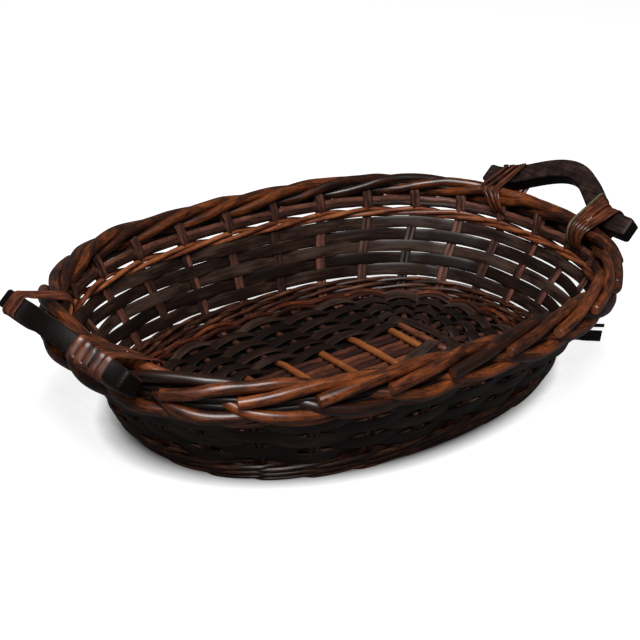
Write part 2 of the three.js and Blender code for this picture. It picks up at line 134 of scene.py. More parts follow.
@dataclass
class Strand:
    """One strand, in millimetres.

    Attributes:
        centre: Points of its centre line.
        across: Direction of its section's width at each.
        through: Direction of its section's depth at each.
        closed: Whether it is a ring.
    """

    centre: np.ndarray
    across: np.ndarray
    through: np.ndarray
    closed: bool = False

    @classmethod
    def laid(cls, centre: np.ndarray, hint: np.ndarray, closed: bool = False) -> "Strand":
        """Lays a strand whose section stays square to its centre line.

        Args:
            centre: Points of the centre line.
            hint: A direction, or one for each point, that the section's width follows.
            closed: Whether the strand is a ring.

        Returns:
            The strand.
        """
        if closed:
            ahead = np.roll(centre, -1, axis=0) - np.roll(centre, 1, axis=0)
        else:
            ahead = np.gradient(centre, axis=0)
        ahead = unit(ahead)
        hint = np.broadcast_to(hint, centre.shape)
        across = unit(hint - ahead * np.sum(hint * ahead, axis=1, keepdims=True))
        return cls(centre, across, np.cross(ahead, across), closed)

    def shifted(self, across: float, through: float = 0.0) -> "Strand":
        """Returns a strand beside this one, moved along its section's directions."""
        centre = self.centre + self.across * across + self.through * through
        return Strand(centre, self.across, self.through, self.closed)


class Mesher:
    """Gathers strands as swept meshes and turns them into one object of the tray.

    Attributes:
        RIM: Size of a cut end's face beside the strand's own, where its rim is rounded off.
    """

    RIM: ClassVar[float] = 0.8

    def __init__(self, name: str) -> None:
        """Starts an empty piece.

        Args:
            name: The object's name.
        """
        self.name = name
        self.points: list[np.ndarray] = []
        self.faces: list[list[int]] = []
        self.places: list[tuple[float, float]] = []
        self.slots: list[int] = []
        self.tones: list[float] = []
        self.count = 0

    def add(
        self,
        strand: Strand,
        outline: np.ndarray,
        size: np.ndarray | float = 1.0,
        start: float = 0.0,
        cut_slot: int = 0,
        blunt: float = 0.0,
        tone: float = 0.5,
    ) -> None:
        """Adds a strand with its section swept along it.

        Args:
            strand: The centre line and directions.
            outline: The section, as points across and through the strand.
            size: Scale of the section, one number or one for each point of the strand.
            start: Where the strand's grain begins along its own length, in metres. Strands differ
                in it, so that no two show the same grain.
            cut_slot: Material slot of the two cut ends.
            blunt: Length over which the rim of a cut end is rounded off.
            tone: How light the strand's stain is, from 0 to 1.
        """
        centre, across, through = strand.centre, strand.across, strand.through
        scale = np.broadcast_to(np.asarray(size, dtype=float), (len(centre),)).copy()
        if blunt > 0 and not strand.closed:
            first = centre[0] + unit(centre[0] - centre[1]) * blunt
            last = centre[-1] + unit(centre[-1] - centre[-2]) * blunt
            centre = np.vstack([first, centre, last])
            across = np.vstack([across[:1], across, across[-1:]])
            through = np.vstack([through[:1], through, through[-1:]])
            scale = np.concatenate([[scale[0] * self.RIM], scale, [scale[-1] * self.RIM]])
        sections, sides = len(centre), len(outline)
        grown = outline[None] * scale[:, None, None]
        points = (
            centre[:, None]
            + across[:, None] * grown[..., :1]
            + through[:, None] * grown[..., 1:]
        )
        ahead = centre[1:] - centre[:-1]
        handed = np.sum(np.cross(across, through)[:-1] * ahead) > 0
        along = start + np.concatenate([[0], np.cumsum(np.linalg.norm(ahead, axis=1))]) * MM
        step = np.linalg.norm(np.roll(outline, -1, axis=0) - outline, axis=1)
        around = np.concatenate([[0], np.cumsum(step)]) * MM
        spans = sections if strand.closed else sections - 1
        closing = np.linalg.norm(centre[0] - centre[-1]) * MM
        for i in range(spans):
            here, there = self.count + i * sides, self.count + ((i + 1) % sections) * sides
            far = along[i + 1] if i + 1 < sections else along[-1] + closing
            for j in range(sides):
                k = (j + 1) % sides
                corners = [
                    (here + j, along[i], around[j]),
                    (here + k, along[i], around[j + 1]),
                    (there + k, far, around[j + 1]),
                    (there + j, far, around[j]),
                ]
                if not handed:
                    corners.reverse()
                self.faces.append([corner[0] for corner in corners])
                self.places += [corner[1:] for corner in corners]
                self.slots.append(0)
        if not strand.closed:
            for first, forward in ((0, not handed), ((sections - 1) * sides, handed)):
                order = list(range(sides)) if forward else list(reversed(range(sides)))
                self.faces.append([self.count + first + j for j in order])
                self.places += [tuple(outline[j] * MM) for j in order]
                self.slots.append(cut_slot)
        self.tones += [tone] * (len(self.faces) - len(self.tones))
        self.points.append(points.reshape(-1, 3) * MM)
        self.count += sections * sides

    def finish(self, materials: Sequence[bpy.types.Material], crease: float = 40.0) -> bpy.types.Object:
        """Makes the object.

        Args:
            materials: What its slots hold.
            crease: Angle in degrees above which an edge stays sharp.

        Returns:
            The new object, linked to the scene, with its place in its mesh.
        """
        mesh = bpy.data.meshes.new(self.name)
        mesh.from_pydata(np.vstack(self.points).tolist(), [], self.faces)
        layer = mesh.uv_layers.new(name="grain")
        layer.data.foreach_set("uv", np.asarray(self.places, dtype=np.float32).ravel())
        mesh.polygons.foreach_set("material_index", self.slots)
        tones = mesh.attributes.new("tone", "FLOAT", "FACE")
        tones.data.foreach_set("value", self.tones)
        for material in materials:
            mesh.materials.append(material)
        mesh.shade_smooth()
        mesh.set_sharp_from_angle(angle=math.radians(crease))
        mesh.update()
        piece = bpy.data.objects.new(self.name, mesh)
        bpy.context.scene.collection.objects.link(piece)
        return piece


def dress(piece: bpy.types.Object, nodes: Sequence[str]) -> bpy.types.Object:
    """Ties a finished piece to the frame.

    Args:
        piece: The object.
        nodes: The nodes that it stands for.

    Returns:
        The same object.
    """
    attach(piece, "root")
    if nodes:
        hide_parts(*nodes)
    log.info("%s: %d faces", piece.name, len(piece.data.polygons))
    return piece


def numbered(name: str, count: int) -> list[str]:
    """Returns the names of a run of nodes, counted from 01."""
    return [f"{name}_{number + 1:02d}" for number in range(count)]


# ------------------------------------------------------------------------------ finishes


def linear(colour: str) -> tuple[float, float, float, float]:
    """Turns an sRGB hex colour into linear light.

    Args:
        colour: Six hex digits after a hash sign.

    Returns:
        Red, green, blue and an alpha of one.
    """
    parts = [int(colour[i : i + 2], 16) / 255 for i in (1, 3, 5)]
    light = [part / 12.92 if part <= 0.04045 else ((part + 0.055) / 1.055) ** 2.4 for part in parts]
    return (light[0], light[1], light[2], 1.0)


def add_node(tree: bpy.types.NodeTree, kind: str, links: dict[str, Any], **settings: Any) -> bpy.types.Node:
    """Adds a node with its settings and inputs.

    Args:
        tree: The node tree.
        kind: The node's type.
        links: For each input, by name or number, a socket to link or a value to set.
        **settings: Properties of the node.

    Returns:
        The node.
    """
    node = tree.nodes.new(kind)
    for key, value in settings.items():
        setattr(node, key, value)
    for key, value in links.items():
        socket = node.inputs[int(key)] if key.isdigit() else node.inputs[key]
        if isinstance(value, bpy.types.NodeSocket):
            tree.links.new(value, socket)
        else:
            socket.default_value = value
    return node


def blank_material(name: str) -> tuple[bpy.types.Material, bpy.types.NodeTree]:
    """Adds a material with an empty node tree.

    Args:
        name: What it is called.

    Returns:
        The material and its node tree.
    """
    material = bpy.data.materials.new(name)
    material.use_nodes = True
    material.node_tree.nodes.clear()
    return material, material.node_tree


def set_ramp(
    ramp: bpy.types.ColorRamp, stops: tuple[float, float, float], colours: tuple[str, str, str]
) -> None:
    """Sets a colour ramp of three tones.

    Args:
        ramp: The ramp, with its two first elements.
        stops: Where the tones stand.
        colours: Their sRGB hex values.
    """
    low, middle, high = stops
    ramp.elements[0].position, ramp.elements[1].position = low, high
    ramp.elements.new(middle)
    for element, colour in zip(ramp.elements, colours):
        element.color = linear(colour)


@dataclass(frozen=True)
class StrandFinish:
    """Finish of a plant strand: stained, varnished, with its grain along its length.

    Willow and rattan are peeled or split by hand. The stain takes unevenly along a strand, dark
    specks stand where side shoots were, and fine fibres run lengthwise. A real fibre is thinner than
    the eye can part from here, so fibres are drawn as coarse as they need to show.

    Attributes:
        FIBRE_LENGTH: Length of a fibre, in its widths.
        PATCH_WIDTH: Width of a patch of stain, in its lengths.
        SPECK_SIZE: Length and width of a speck, in millimetres.
        SPECK_EDGE: Pattern values between which a speck fades in, before its share is taken off.
        FIBRE_SHARE: Share of the fibres in the stain's pattern. The patches have the rest.
        TONE_SWING: How far a strand's own tone moves the pattern.
        STOPS: Pattern values of the darkest, the main and the lightest tone.
        GLOSS_SWING: How much rougher the open fibres are, and how much smoother the closed ones.
        COAT_ROUGHNESS: Of the clear coat.
        name: What the material is called.
        tones: The stain where it is darkest, over most of the strand, and where it is thin.
        roughness: Of the varnish.
        fibre: Width of a fibre, in millimetres.
        patch: Length of a patch of stain, in millimetres.
        speck: Share of the surface taken by dark specks, from 0 to 1.
        relief: Height of the fibres, in millimetres.
        coat: Weight of a clear coat.
        shine: Specular level, lower where the wood is bare and open.
    """

    FIBRE_LENGTH: ClassVar[float] = 26.0
    PATCH_WIDTH: ClassVar[float] = 0.28
    SPECK_SIZE: ClassVar[tuple[float, float]] = (2.381, 1.111)
    SPECK_EDGE: ClassVar[tuple[float, float]] = (0.74, 0.8)
    FIBRE_SHARE: ClassVar[float] = 0.42
    TONE_SWING: ClassVar[float] = 0.26
    STOPS: ClassVar[tuple[float, float, float]] = (0.46, 0.63, 0.8)
    GLOSS_SWING: ClassVar[tuple[float, float]] = (0.1, 0.06)
    COAT_ROUGHNESS: ClassVar[float] = 0.22

    name: str
    tones: tuple[str, str, str]
    roughness: float = 0.4
    fibre: float = 0.5
    patch: float = 24.0
    speck: float = 0.1
    relief: float = 0.05
    coat: float = 0.0
    shine: float = 0.5

    def material(self) -> bpy.types.Material:
        """Builds the material.

        Returns:
            The new material.
        """
        material, tree = blank_material(self.name)
        place = add_node(tree, "ShaderNodeUVMap", {}, uv_map="grain").outputs["UV"]
        # Each layer of marks: their length and width, then the noise's detail and roughness.
        layers = (
            (self.fibre * self.FIBRE_LENGTH, self.fibre, 3.0, 0.6),
            (self.patch, self.patch * self.PATCH_WIDTH, 4.0, 0.62),
            (*self.SPECK_SIZE, 2.0, 0.5),
        )
        marks = []
        for long, wide, detail, rough in layers:
            scaled = add_node(
                tree,
                "ShaderNodeMapping",
                {"Vector": place, "Scale": (1 / MM / long, 1 / MM / wide, 1.0)},
            )
            noise = add_node(
                tree,
                "ShaderNodeTexNoise",
                {"Vector": scaled.outputs[0], "Scale": 1.0, "Detail": detail, "Roughness": rough},
            )
            marks.append(noise.outputs[0])
        fibres, patches, specks = marks
        blend = add_node(
            tree,
            "ShaderNodeMix",
            {"Factor": self.FIBRE_SHARE, "A": patches, "B": fibres},
            data_type="FLOAT",
        )
        # Each strand took the stain in its own way, so its tone moves the whole pattern.
        own = add_node(tree, "ShaderNodeAttribute", {}, attribute_name="tone")
        shifted = add_node(
            tree,
            "ShaderNodeMath",
            {"0": own.outputs["Fac"], "1": self.TONE_SWING, "2": blend.outputs[0]},
            operation="MULTIPLY_ADD",
        )
        stain = add_node(tree, "ShaderNodeValToRGB", {"Fac": shifted.outputs[0]})
        set_ramp(stain.color_ramp, self.STOPS, self.tones)
        faint, full = (value - self.speck for value in self.SPECK_EDGE)
        mask = add_node(
            tree, "ShaderNodeMapRange", {"Value": specks, "From Min": faint, "From Max": full}
        )
        colour = add_node(
            tree,
            "ShaderNodeMix",
            {"Factor": mask.outputs[0], "A": stain.outputs[0], "B": linear(self.tones[0])},
            data_type="RGBA",
        )
        gloss = add_node(
            tree,
            "ShaderNodeMapRange",
            {
                "Value": blend.outputs[0],
                "From Min": NOISE_LOW,
                "From Max": NOISE_HIGH,
                "To Min": self.roughness + self.GLOSS_SWING[0],
                "To Max": self.roughness - self.GLOSS_SWING[1],
            },
        )
        bump = add_node(
            tree,
            "ShaderNodeBump",
            {"Height": blend.outputs[0], "Strength": 1.0, "Distance": self.relief * MM},
        )
        shader = add_node(
            tree,
            "ShaderNodeBsdfPrincipled",
            {
                "Base Color": colour.outputs[2],
                "Roughness": gloss.outputs[0],
                "Normal": bump.outputs[0],
                "IOR": IOR,
                "Specular IOR Level": self.shine,
                "Coat Weight": self.coat,
                "Coat Roughness": self.COAT_ROUGHNESS,
            },
        )
        add_node(tree, "ShaderNodeOutputMaterial", {"Surface": shader.outputs[0]})
        return material


@dataclass(frozen=True)
class BentWoodFinish:
    """Finish of a steam-bent handle: a hardwood bar, stained espresso and sealed to a satin.

    Short pores run along the bar, and its faces are worn in soft patches.

    Attributes:
        name: What the material is called.
        tones: The stain in the pores, over most of the bar, and on the worn faces.
        pore_length: Of a pore along the bar, in millimetres.
        pore_width: Of a pore across it, drawn wider than a real one so that it shows.
        wear: Length of a worn patch.
        relief: Depth of the pores.
        wear_share: Share of the wear in the stain's pattern. The pores have the rest.
        soak: How far soaked wood moves the pattern, towards dark.
        stops: Pattern values of the dark, the main and the light tone.
        roughness: Of the sealed wood in the pores and on the worn faces.
        shine: Specular level. The seal has sunk in.
    """

    name: str = "bent_wood_espresso_satin"
    tones: tuple[str, str, str] = ("#0c0807", "#2c1f1d", "#493733")
    pore_length: float = 18.18
    pore_width: float = 1.111
    wear: float = 9.09
    relief: float = 0.08
    wear_share: float = 0.6
    soak: float = -0.2
    stops: tuple[float, float, float] = (0.36, 0.5, 0.66)
    roughness: tuple[float, float] = (0.5, 0.36)
    shine: float = 0.15

    def material(self) -> bpy.types.Material:
        """Builds the material.

        Returns:
            The new material.
        """
        material, tree = blank_material(self.name)
        place = add_node(tree, "ShaderNodeTexCoord", {}).outputs["Object"]
        along, across = 1 / MM / self.pore_length, 1 / MM / self.pore_width
        grain_place = add_node(
            tree, "ShaderNodeMapping", {"Vector": place, "Scale": (across, along, across)}
        )
        grain = add_node(
            tree,
            "ShaderNodeTexNoise",
            {"Vector": grain_place.outputs[0], "Scale": 1.0, "Detail": 4.0, "Roughness": 0.6},
        )
        wear = add_node(
            tree,
            "ShaderNodeTexNoise",
            {"Vector": place, "Scale": 1 / MM / self.wear, "Detail": 6.0, "Roughness": 0.7},
        )
        blend = add_node(
            tree,
            "ShaderNodeMix",
            {"Factor": self.wear_share, "A": grain.outputs[0], "B": wear.outputs[0]},
            data_type="FLOAT",
        )
        # The bent edges and the sawn ends drink more stain than the planed faces.
        open_wood = add_node(tree, "ShaderNodeAttribute", {}, attribute_name="stain")
        soaked = add_node(
            tree,
            "ShaderNodeMath",
            {"0": open_wood.outputs["Fac"], "1": self.soak, "2": blend.outputs[0]},
            operation="MULTIPLY_ADD",
        )
        stain = add_node(tree, "ShaderNodeValToRGB", {"Fac": soaked.outputs[0]})
        set_ramp(stain.color_ramp, self.stops, self.tones)
        bump = add_node(
            tree,
            "ShaderNodeBump",
            {"Height": grain.outputs[0], "Strength": 1.0, "Distance": self.relief * MM},
        )
        gloss = add_node(
            tree,
            "ShaderNodeMapRange",
            {
                "Value": wear.outputs[0],
                "From Min": NOISE_LOW,
                "From Max": NOISE_HIGH,
                "To Min": self.roughness[0],
                "To Max": self.roughness[1],
            },
        )
        shader = add_node(
            tree,
            "ShaderNodeBsdfPrincipled",
            {
                "Base Color": stain.outputs[0],
                "Roughness": gloss.outputs[0],
                "Normal": bump.outputs[0],
                "IOR": IOR,
                "Specular IOR Level": self.shine,
            },
        )
        add_node(tree, "ShaderNodeOutputMaterial", {"Surface": shader.outputs[0]})
        return material


class Finish(Enum):
    """The finishes of the tray's strands."""

    # Peeled willow rod, stained mahogany and varnished: glossy, orange where the stain is thin.
    BORDER = StrandFinish(
        "willow_rod_mahogany_varnish",
        ("#0f0604", "#32160b", "#8c4820"),
        roughness=0.32,
        fibre=0.6,
        patch=20.0,
        speck=0.12,
        relief=0.06,
        coat=0.28,
        shine=0.45,
    )
    # Cut end of a rod: open grain takes more stain.
    CUT = StrandFinish(
        "willow_end_grain",
        ("#2a120b", "#6d3a20", "#8d5632"),
        roughness=0.6,
        fibre=0.4,
        patch=3.0,
    )
    # Split willow, soaked dark and left satin: the flat splints of floor and wall.
    SPLINT = StrandFinish(
        "split_willow_espresso",
        ("#100a08", "#261813", "#4e3c33"),
        roughness=0.36,
        fibre=1.1,
        patch=30.0,
        speck=0.02,
        relief=0.06,
        shine=0.3,
    )
    # Thin split rods of the stakes, red-brown with a matt skin.
    STAKE = StrandFinish(
        "split_willow_stake",
        ("#170c09", "#3e241b", "#75493a"),
        roughness=0.46,
        fibre=0.35,
        patch=16.0,
        shine=0.25,
    )
    # Round centre cane, dyed red-brown and varnished: smooth, with soft streaks.
    REED = StrandFinish(
        "round_cane_red_brown",
        ("#150805", "#4a2013", "#a4562e"),
        roughness=0.33,
        fibre=0.3,
        speck=0.05,
        relief=0.03,
    )
    # The same cane, painted darker for the reeds at the wall's foot, whose outside lies in shade: painted
    # shade.
    FOOT_REED_PAINTED_SHADE = StrandFinish(
        "round_cane_painted_shade",
        ("#0f0604", "#2f1810", "#8c5638"),
        roughness=0.3,
        fibre=0.3,
        speck=0.05,
        relief=0.03,
    )
    # The same cane, painted lighter for the waling, which lies in shade under the border: painted light.
    WALE = StrandFinish(
        "round_cane_painted_light",
        ("#220d08", "#5e2d1b", "#b0683e"),
        roughness=0.34,
        fibre=0.3,
        speck=0.05,
        relief=0.03,
    )
    # Long sticks of the floor: peeled willow, stained brown, a little worn.
    LONG_STICK = StrandFinish(
        "willow_stick_brown",
        ("#1f100d", "#46251c", "#81492f"),
        roughness=0.38,
        patch=22.0,
    )
    # Cross sticks of the floor, peeled and little stained: pale orange, waxy.
    CROSS_STICK = StrandFinish(
        "willow_stick_orange",
        ("#5a2a14", "#854923", "#a86636"),
        patch=26.0,
        speck=0.06,
    )
    # Undyed straw, dull and a little green.
    STRAW = StrandFinish(
        "undyed_straw",
        ("#2c2618", "#5b5138", "#8a7f5a"),
        roughness=0.5,
        fibre=0.25,
        patch=9.0,
        speck=0.05,
        relief=0.04,
    )
    # Shiny skin of the cane, cut in flat ribbons and dyed.
    SKEIN = StrandFinish(
        "cane_skein_red_brown",
        ("#190b07", "#3e1c12", "#8e4e2e"),
        roughness=0.3,
        fibre=0.45,
        patch=14.0,
        speck=0.04,
        relief=0.03,
    )


class Wardrobe:
    """Keeps one material for each finish."""

    def __init__(self) -> None:
        """Builds every material once."""
        self.strands = {finish: finish.value.material() for finish in Finish}
        self.bent_wood = BentWoodFinish().material()

    def __getitem__(self, finish: Finish) -> bpy.types.Material:
        """Returns the material of a strand finish."""
        return self.strands[finish]


# ------------------------------------------------------------------------------ the oval


@dataclass(frozen=True)
class Frames:
    """Places on the wall, with the directions that a strand needs there.

    Attributes:
        place: Points on the wall's middle surface.
        along: Level, counter-clockwise.
        out: Square to the wall, outward.
        rise: Up the wall's slope.
        plan: Level, outward.
    """

    place: np.ndarray
    along: np.ndarray
    out: np.ndarray
    rise: np.ndarray
    plan: np.ndarray

    def moved(self, out: Any = 0.0, rise: Any = 0.0, along: Any = 0.0) -> np.ndarray:
        """Moves the places off along the wall's own directions.

        Args:
            out: How far outward, one for all or one each.
            rise: How far up the slope.
            along: How far counter-clockwise.

        Returns:
            The moved places.
        """
        return (
            self.place
            + self.out * column(out)
            + self.rise * column(rise)
            + self.along * column(along)
        )


@dataclass
class Oval:
    """The tray's plan and the slope of its wall, which the frame and the strands share.

    Attributes:
        foot_x: Half-length of the foot's oval.
        foot_y: Half-width of the foot's oval.
        mid: Height of the floor's middle plane.
        squareness: Exponent of the foot's oval. 2 is an ellipse.
        fullness: How much squarer the oval grows from the floor up.
        fullness_height: Height above the floor at which it has grown by that much.
        stakes: How many stakes stand round the edge.
        bunching: How far the stakes draw together at the ends, as a share of the edge.
        lean_x: Outward run of the wall for each unit of height, at the ends.
        lean_y: The same along the sides.
        belly: How far the wall swells at the ends, beyond its slope.
        belly_height: How high above the floor it swells most.
        belly_reach: How far above and below that the swelling reaches.
        lengths: Length round the foot's oval up to each of its points.
        outline: The foot's oval with half-sizes of one.
    """

    foot_x: float = 161.0
    foot_y: float = 106.2
    mid: float = 4.915
    squareness: float = 2.4
    fullness: float = 0.13
    fullness_height: float = 72.0
    stakes: int = 28
    bunching: float = 0.0095
    lean_x: float = 0.505
    lean_y: float = 0.4556
    belly: float = 5.2
    belly_height: float = 52.0
    belly_reach: float = 17.0
    lengths: np.ndarray = field(init=False, repr=False)
    outline: np.ndarray = field(init=False, repr=False)

    def __post_init__(self) -> None:
        """Measures the foot's oval."""
        samples = 2880
        turn = np.linspace(0, 2 * np.pi, samples + 1)
        unit_oval = np.stack([np.cos(turn), np.sin(turn)], axis=1)
        self.outline = np.sign(unit_oval) * np.abs(unit_oval) ** (2 / self.squareness)
        steps = np.diff(self.outline * [self.foot_x, self.foot_y], axis=0)
        self.lengths = np.concatenate([[0], np.cumsum(np.linalg.norm(steps, axis=1))])

    def wall(self, stake: Any, height: Any) -> Frames:
        """Finds places on the wall.

        Args:
            stake: Stake numbers, fractions allowed.
            height: Heights above the ground, one for all or one each.

        Returns:
            The places and their directions.
        """
        stake = np.atleast_1d(np.asarray(stake, dtype=float))
        above = np.broadcast_to(np.asarray(height, dtype=float), stake.shape) - self.mid
        turn = stake / self.stakes
        share = (turn - self.bunching * np.sin(4 * np.pi * turn)) % 1.0
        length = share * self.lengths[-1]
        flat = np.stack(
            [np.interp(length, self.lengths, self.outline[:, axis]) for axis in (0, 1)], axis=1
        )
        power = (self.squareness + self.fullness * above / self.fullness_height)[:, None]
        flat /= np.sum(np.abs(flat) ** power, axis=1, keepdims=True) ** (1 / power)
        belly = self.belly * np.exp(-(((above - self.belly_height) / self.belly_reach) ** 2))
        half = np.stack(
            [self.foot_x + self.lean_x * above + belly, self.foot_y + self.lean_y * above], axis=1
        )
        plan = np.zeros((len(stake), 3))
        plan[:, :2] = np.sign(flat) * np.abs(flat) ** (power - 1) / half
        plan = unit(plan)
        slope = plan[:, 0] * self.lean_x * flat[:, 0] + plan[:, 1] * self.lean_y * flat[:, 1]
        along = np.cross(UP, plan)
        out = unit(plan - UP * slope[:, None])
        place = np.column_stack([half * flat, above + self.mid])
        return Frames(place, along, out, np.cross(out, along), plan)


# ------------------------------------------------------------------------------ floor


@dataclass
class Floor:
    """Woven floor: crossed sticks, spokes, flat splints, and reeds near the foot.

    Attributes:
        oval: The tray's plan.
        looks: The materials.
        beside: Sticks on each side of the middle one, each way.
        radius: Of a stick.
        long_pitch: Between long sticks.
        cross_pitch: Between cross sticks.
        end_pitch: Between the last two cross sticks.
        weave_x: Where the weave begins, along the tray.
        weave_y: Where the weave begins, across the tray.
        rows: How many rows of splint.
        reed_rows: Depth of the rows of reed along the foot.
        splint_width: Width of a splint.
        splint_thickness: Its thickness.
        reeds: How many rows of reed.
        reed_inset: From the foot to the last row of reed.
        reed_pitch: Between rows of reed.
        reed_radius: Of a round reed.
        reed_stand_off: Of a reed's middle from the floor's middle plane, at a spoke.
        reed_swing: How far a reed wanders outward and back between spokes.
        open_spacing: Spokes closer together than this are passed as one.
        leg: How far from the foot a spoke stops, because the stake's leg lies there.
        notch: How deep two crossed sticks are cut into each other.
        descent: Share of a spoke over which it comes down from a cross stick.
        descent_power: Exponent of that descent. Above 1 it is steeper at first.
        lapped: Share of its spoke that a stick's own piece covers.
        thinning: How much thinner a stick is at its tips, as a share.
        bow: How far a stick strays from straight.
        follow: Step along the spokes by which a row's outward direction is found.
        levelling: Share of the spokes' fall that a splint's width follows.
        shingle: How far a row leans over the next one out, as a share of its width.
        stroke_power: Exponent of a stroke's rise. Below 1 its top is flatter than a wave's.
        air: Between a splint and a spoke.
        loose_start: What the first splint's loose start passes on its way over the sticks.
    """

    oval: Oval
    looks: Wardrobe
    beside: int = 3
    radius: float = 2.5
    long_pitch: float = 6.4
    cross_pitch: float = 33.0
    end_pitch: float = 12.0
    weave_x: float = 81.5
    weave_y: float = 20.0
    rows: int = 9
    reed_rows: float = 12.6
    splint_width: float = 9.4
    splint_thickness: float = 0.9
    reeds: int = 3
    reed_inset: float = 4.4
    reed_pitch: float = 3.5
    reed_radius: float = 1.7
    reed_stand_off: float = 3.15
    reed_swing: float = 0.4
    open_spacing: float = 12.5
    leg: float = 24.0
    notch: float = 0.6
    descent: float = 0.42
    descent_power: float = 1.4
    lapped: float = 0.09
    thinning: float = 0.12
    bow: float = 0.5
    follow: float = 0.04
    levelling: float = 0.3
    shingle: float = 0.12
    stroke_power: float = 0.85
    air: float = 0.35
    loose_start: tuple[tuple[float, float, float], ...] = (
        (32.0, -30.0, 7.6),
        (44.0, -25.5, 12.0),
        (58.0, -21.0, 12.7),
        (70.0, -17.0, 12.5),
        (80.0, -13.0, 10.5),
        (90.0, -6.0, 5.0),
    )

    @property
    def depth(self) -> float:
        """Depth of the weave, from the crossed sticks to the foot."""
        return self.oval.foot_x - self.weave_x

    @property
    def quarter(self) -> int:
        """Number of the stake in the middle of the far side."""
        return 2 * self.beside + 1

    def cross_place(self, number: int) -> float:
        """Finds the place of a cross stick along the tray.

        Args:
            number: Which one, counted both ways from the middle.

        Returns:
            Its distance from the middle, signed.
        """
        steps = abs(number)
        last = (self.beside - 1) * self.cross_pitch + self.end_pitch
        return math.copysign(steps * self.cross_pitch if steps < self.beside else last, number)

    def spoke_start(self, stake: int) -> np.ndarray:
        """Finds where the spoke of a stake leaves the crossed sticks.

        Args:
            stake: The stake's number.

        Returns:
            The place.
        """
        # Both halves of the edge take the same sticks in the same order, the second turned half round.
        count = self.oval.stakes
        number = stake % count
        second_half = self.quarter + self.beside < number <= count - self.beside - 1
        turned = number - 2 * self.quarter if second_half else number
        side = -1 if second_half else 1
        local = turned - count if turned > count / 2 else turned
        if abs(local) <= self.beside:
            return np.array([side * self.weave_x, side * local * self.long_pitch, self.oval.mid])
        place = self.cross_place(self.quarter - local)
        return np.array([side * place, side * self.weave_y, self.oval.mid])

    def on_spoke(self, stake: int, share: float) -> np.ndarray:
        """Finds a place on a spoke.

        Args:
            stake: The stake that the spoke runs to.
            share: How far along, 0 at the crossed sticks and 1 at the foot.

        Returns:
            The place.
        """
        start = self.spoke_start(stake)
        place = start + (self.oval.wall(stake, self.oval.mid).place[0] - start) * share
        if abs(start[0]) < self.weave_x - 1:
            # A cross stick lies on the long ones, and its spoke comes down as it goes outward.
            above = max(0.0, 1 - max(0.0, share) / self.descent) ** self.descent_power
            place[2] += (2 * self.radius - self.notch) * above
        return place

    def on_spokes(self, share: float) -> np.ndarray:
        """Returns the same place on every spoke."""
        return np.array([self.on_spoke(stake, share) for stake in range(self.oval.stakes)])

    def sides(self, row: int, share: float) -> np.ndarray:
        """Settles on which side of each spoke a row passes.

        Args:
            row: The row's number.
            share: Its place along the spokes.

        Returns:
            For each spoke +1 where the row passes over it and -1 where it passes under.
        """
        places = self.on_spokes(share)
        count = self.oval.stakes
        sides = [1]
        for stake in range(1, count):
            gap = np.linalg.norm(places[stake] - places[stake - 1])
            sides.append(sides[-1] if gap < self.open_spacing else -sides[-1])
        turn = sides[self.quarter] * (1 if row % 2 == 0 else -1)
        return np.array(sides, dtype=float) * turn

    def row_strand(self, row: int, share: float, stand_off: float, swing: float = 0.0) -> Strand:
        """Lays one row round the floor.

        Args:
            row: Its number, which settles where it passes over.
            share: Its place along the spokes.
            stand_off: How far its middle stands off the floor's middle plane at a spoke.
            swing: How far it wanders outward and back between spokes.

        Returns:
            The strand, a ring.
        """
        steps = 12
        places = self.on_spokes(share)
        inner = self.on_spokes(share - self.follow)
        path = smooth_curve(places, steps, closed=True)
        inward = smooth_curve(inner, steps, closed=True)
        sides = self.sides(row, share)
        after = np.roll(sides, -1)
        turn = np.arange(steps) / steps
        wave = 0.5 * (1 - np.cos(np.pi * turn))
        lift = (sides[:, None] * (1 - wave) + after[:, None] * wave).ravel()
        lift = np.sign(lift) * np.abs(lift) ** self.stroke_power
        outward = unit((path - inward) * [1.0, 1.0, self.levelling])
        path = path + UP * (lift * stand_off)[:, None]
        if swing:
            sway = np.sin(np.repeat(sides, steps) * np.tile(turn, len(sides)) * np.pi)
            path = path + outward * (swing * sway)[:, None]
        # Between spokes a row leans over the next one out, like a shingle.
        lean = outward - UP * (self.shingle * (1 - np.abs(lift)))[:, None]
        return Strand.laid(path, lean, closed=True)

    def taper(self, count: int) -> np.ndarray:
        """Returns a stick's size at each of a number of points: it thins out at both tips."""
        return 1 - self.thinning * np.abs(np.linspace(-1, 1, count)) ** 3

    def long_stick(self, number: int) -> Strand:
        """Lays one long stick, from the weave at one end to the weave at the other.

        Args:
            number: Which one, counted both ways from the middle.

        Returns:
            The stick.
        """
        end = [self.on_spoke(number, share) for share in (self.lapped, 0.0)]
        back = [self.on_spoke(-number, share) * HALF_TURN for share in (0.0, self.lapped)]
        middle = [
            np.array([x, end[1][1] + self.bow * math.sin(x * 0.07 + number * 2), self.oval.mid])
            for x in (45.0, 0.0, -45.0)
        ]
        return Strand.laid(smooth_curve(end + middle + back, 9), UP)

    def cross_stick(self, number: int) -> Strand:
        """Lays one cross stick over the long ones.

        Args:
            number: Which one, counted both ways from the middle.

        Returns:
            The stick.
        """
        stake, mirrored = self.quarter - number, self.quarter + number
        x, raised = self.cross_place(number), self.on_spoke(stake, 0.0)[2]
        control = [
            self.on_spoke(stake, self.lapped),
            self.on_spoke(stake, 0.0),
            [x, self.weave_y * 0.5, raised],
            [x + self.bow * math.sin(number * 3.0), 0, raised + 0.2],
            [x, -self.weave_y * 0.5, raised],
            self.on_spoke(mirrored, 0.0) * HALF_TURN,
            self.on_spoke(mirrored, self.lapped) * HALF_TURN,
        ]
        return Strand.laid(smooth_curve(control, 8), np.array([1.0, 0.0, 0.0]))

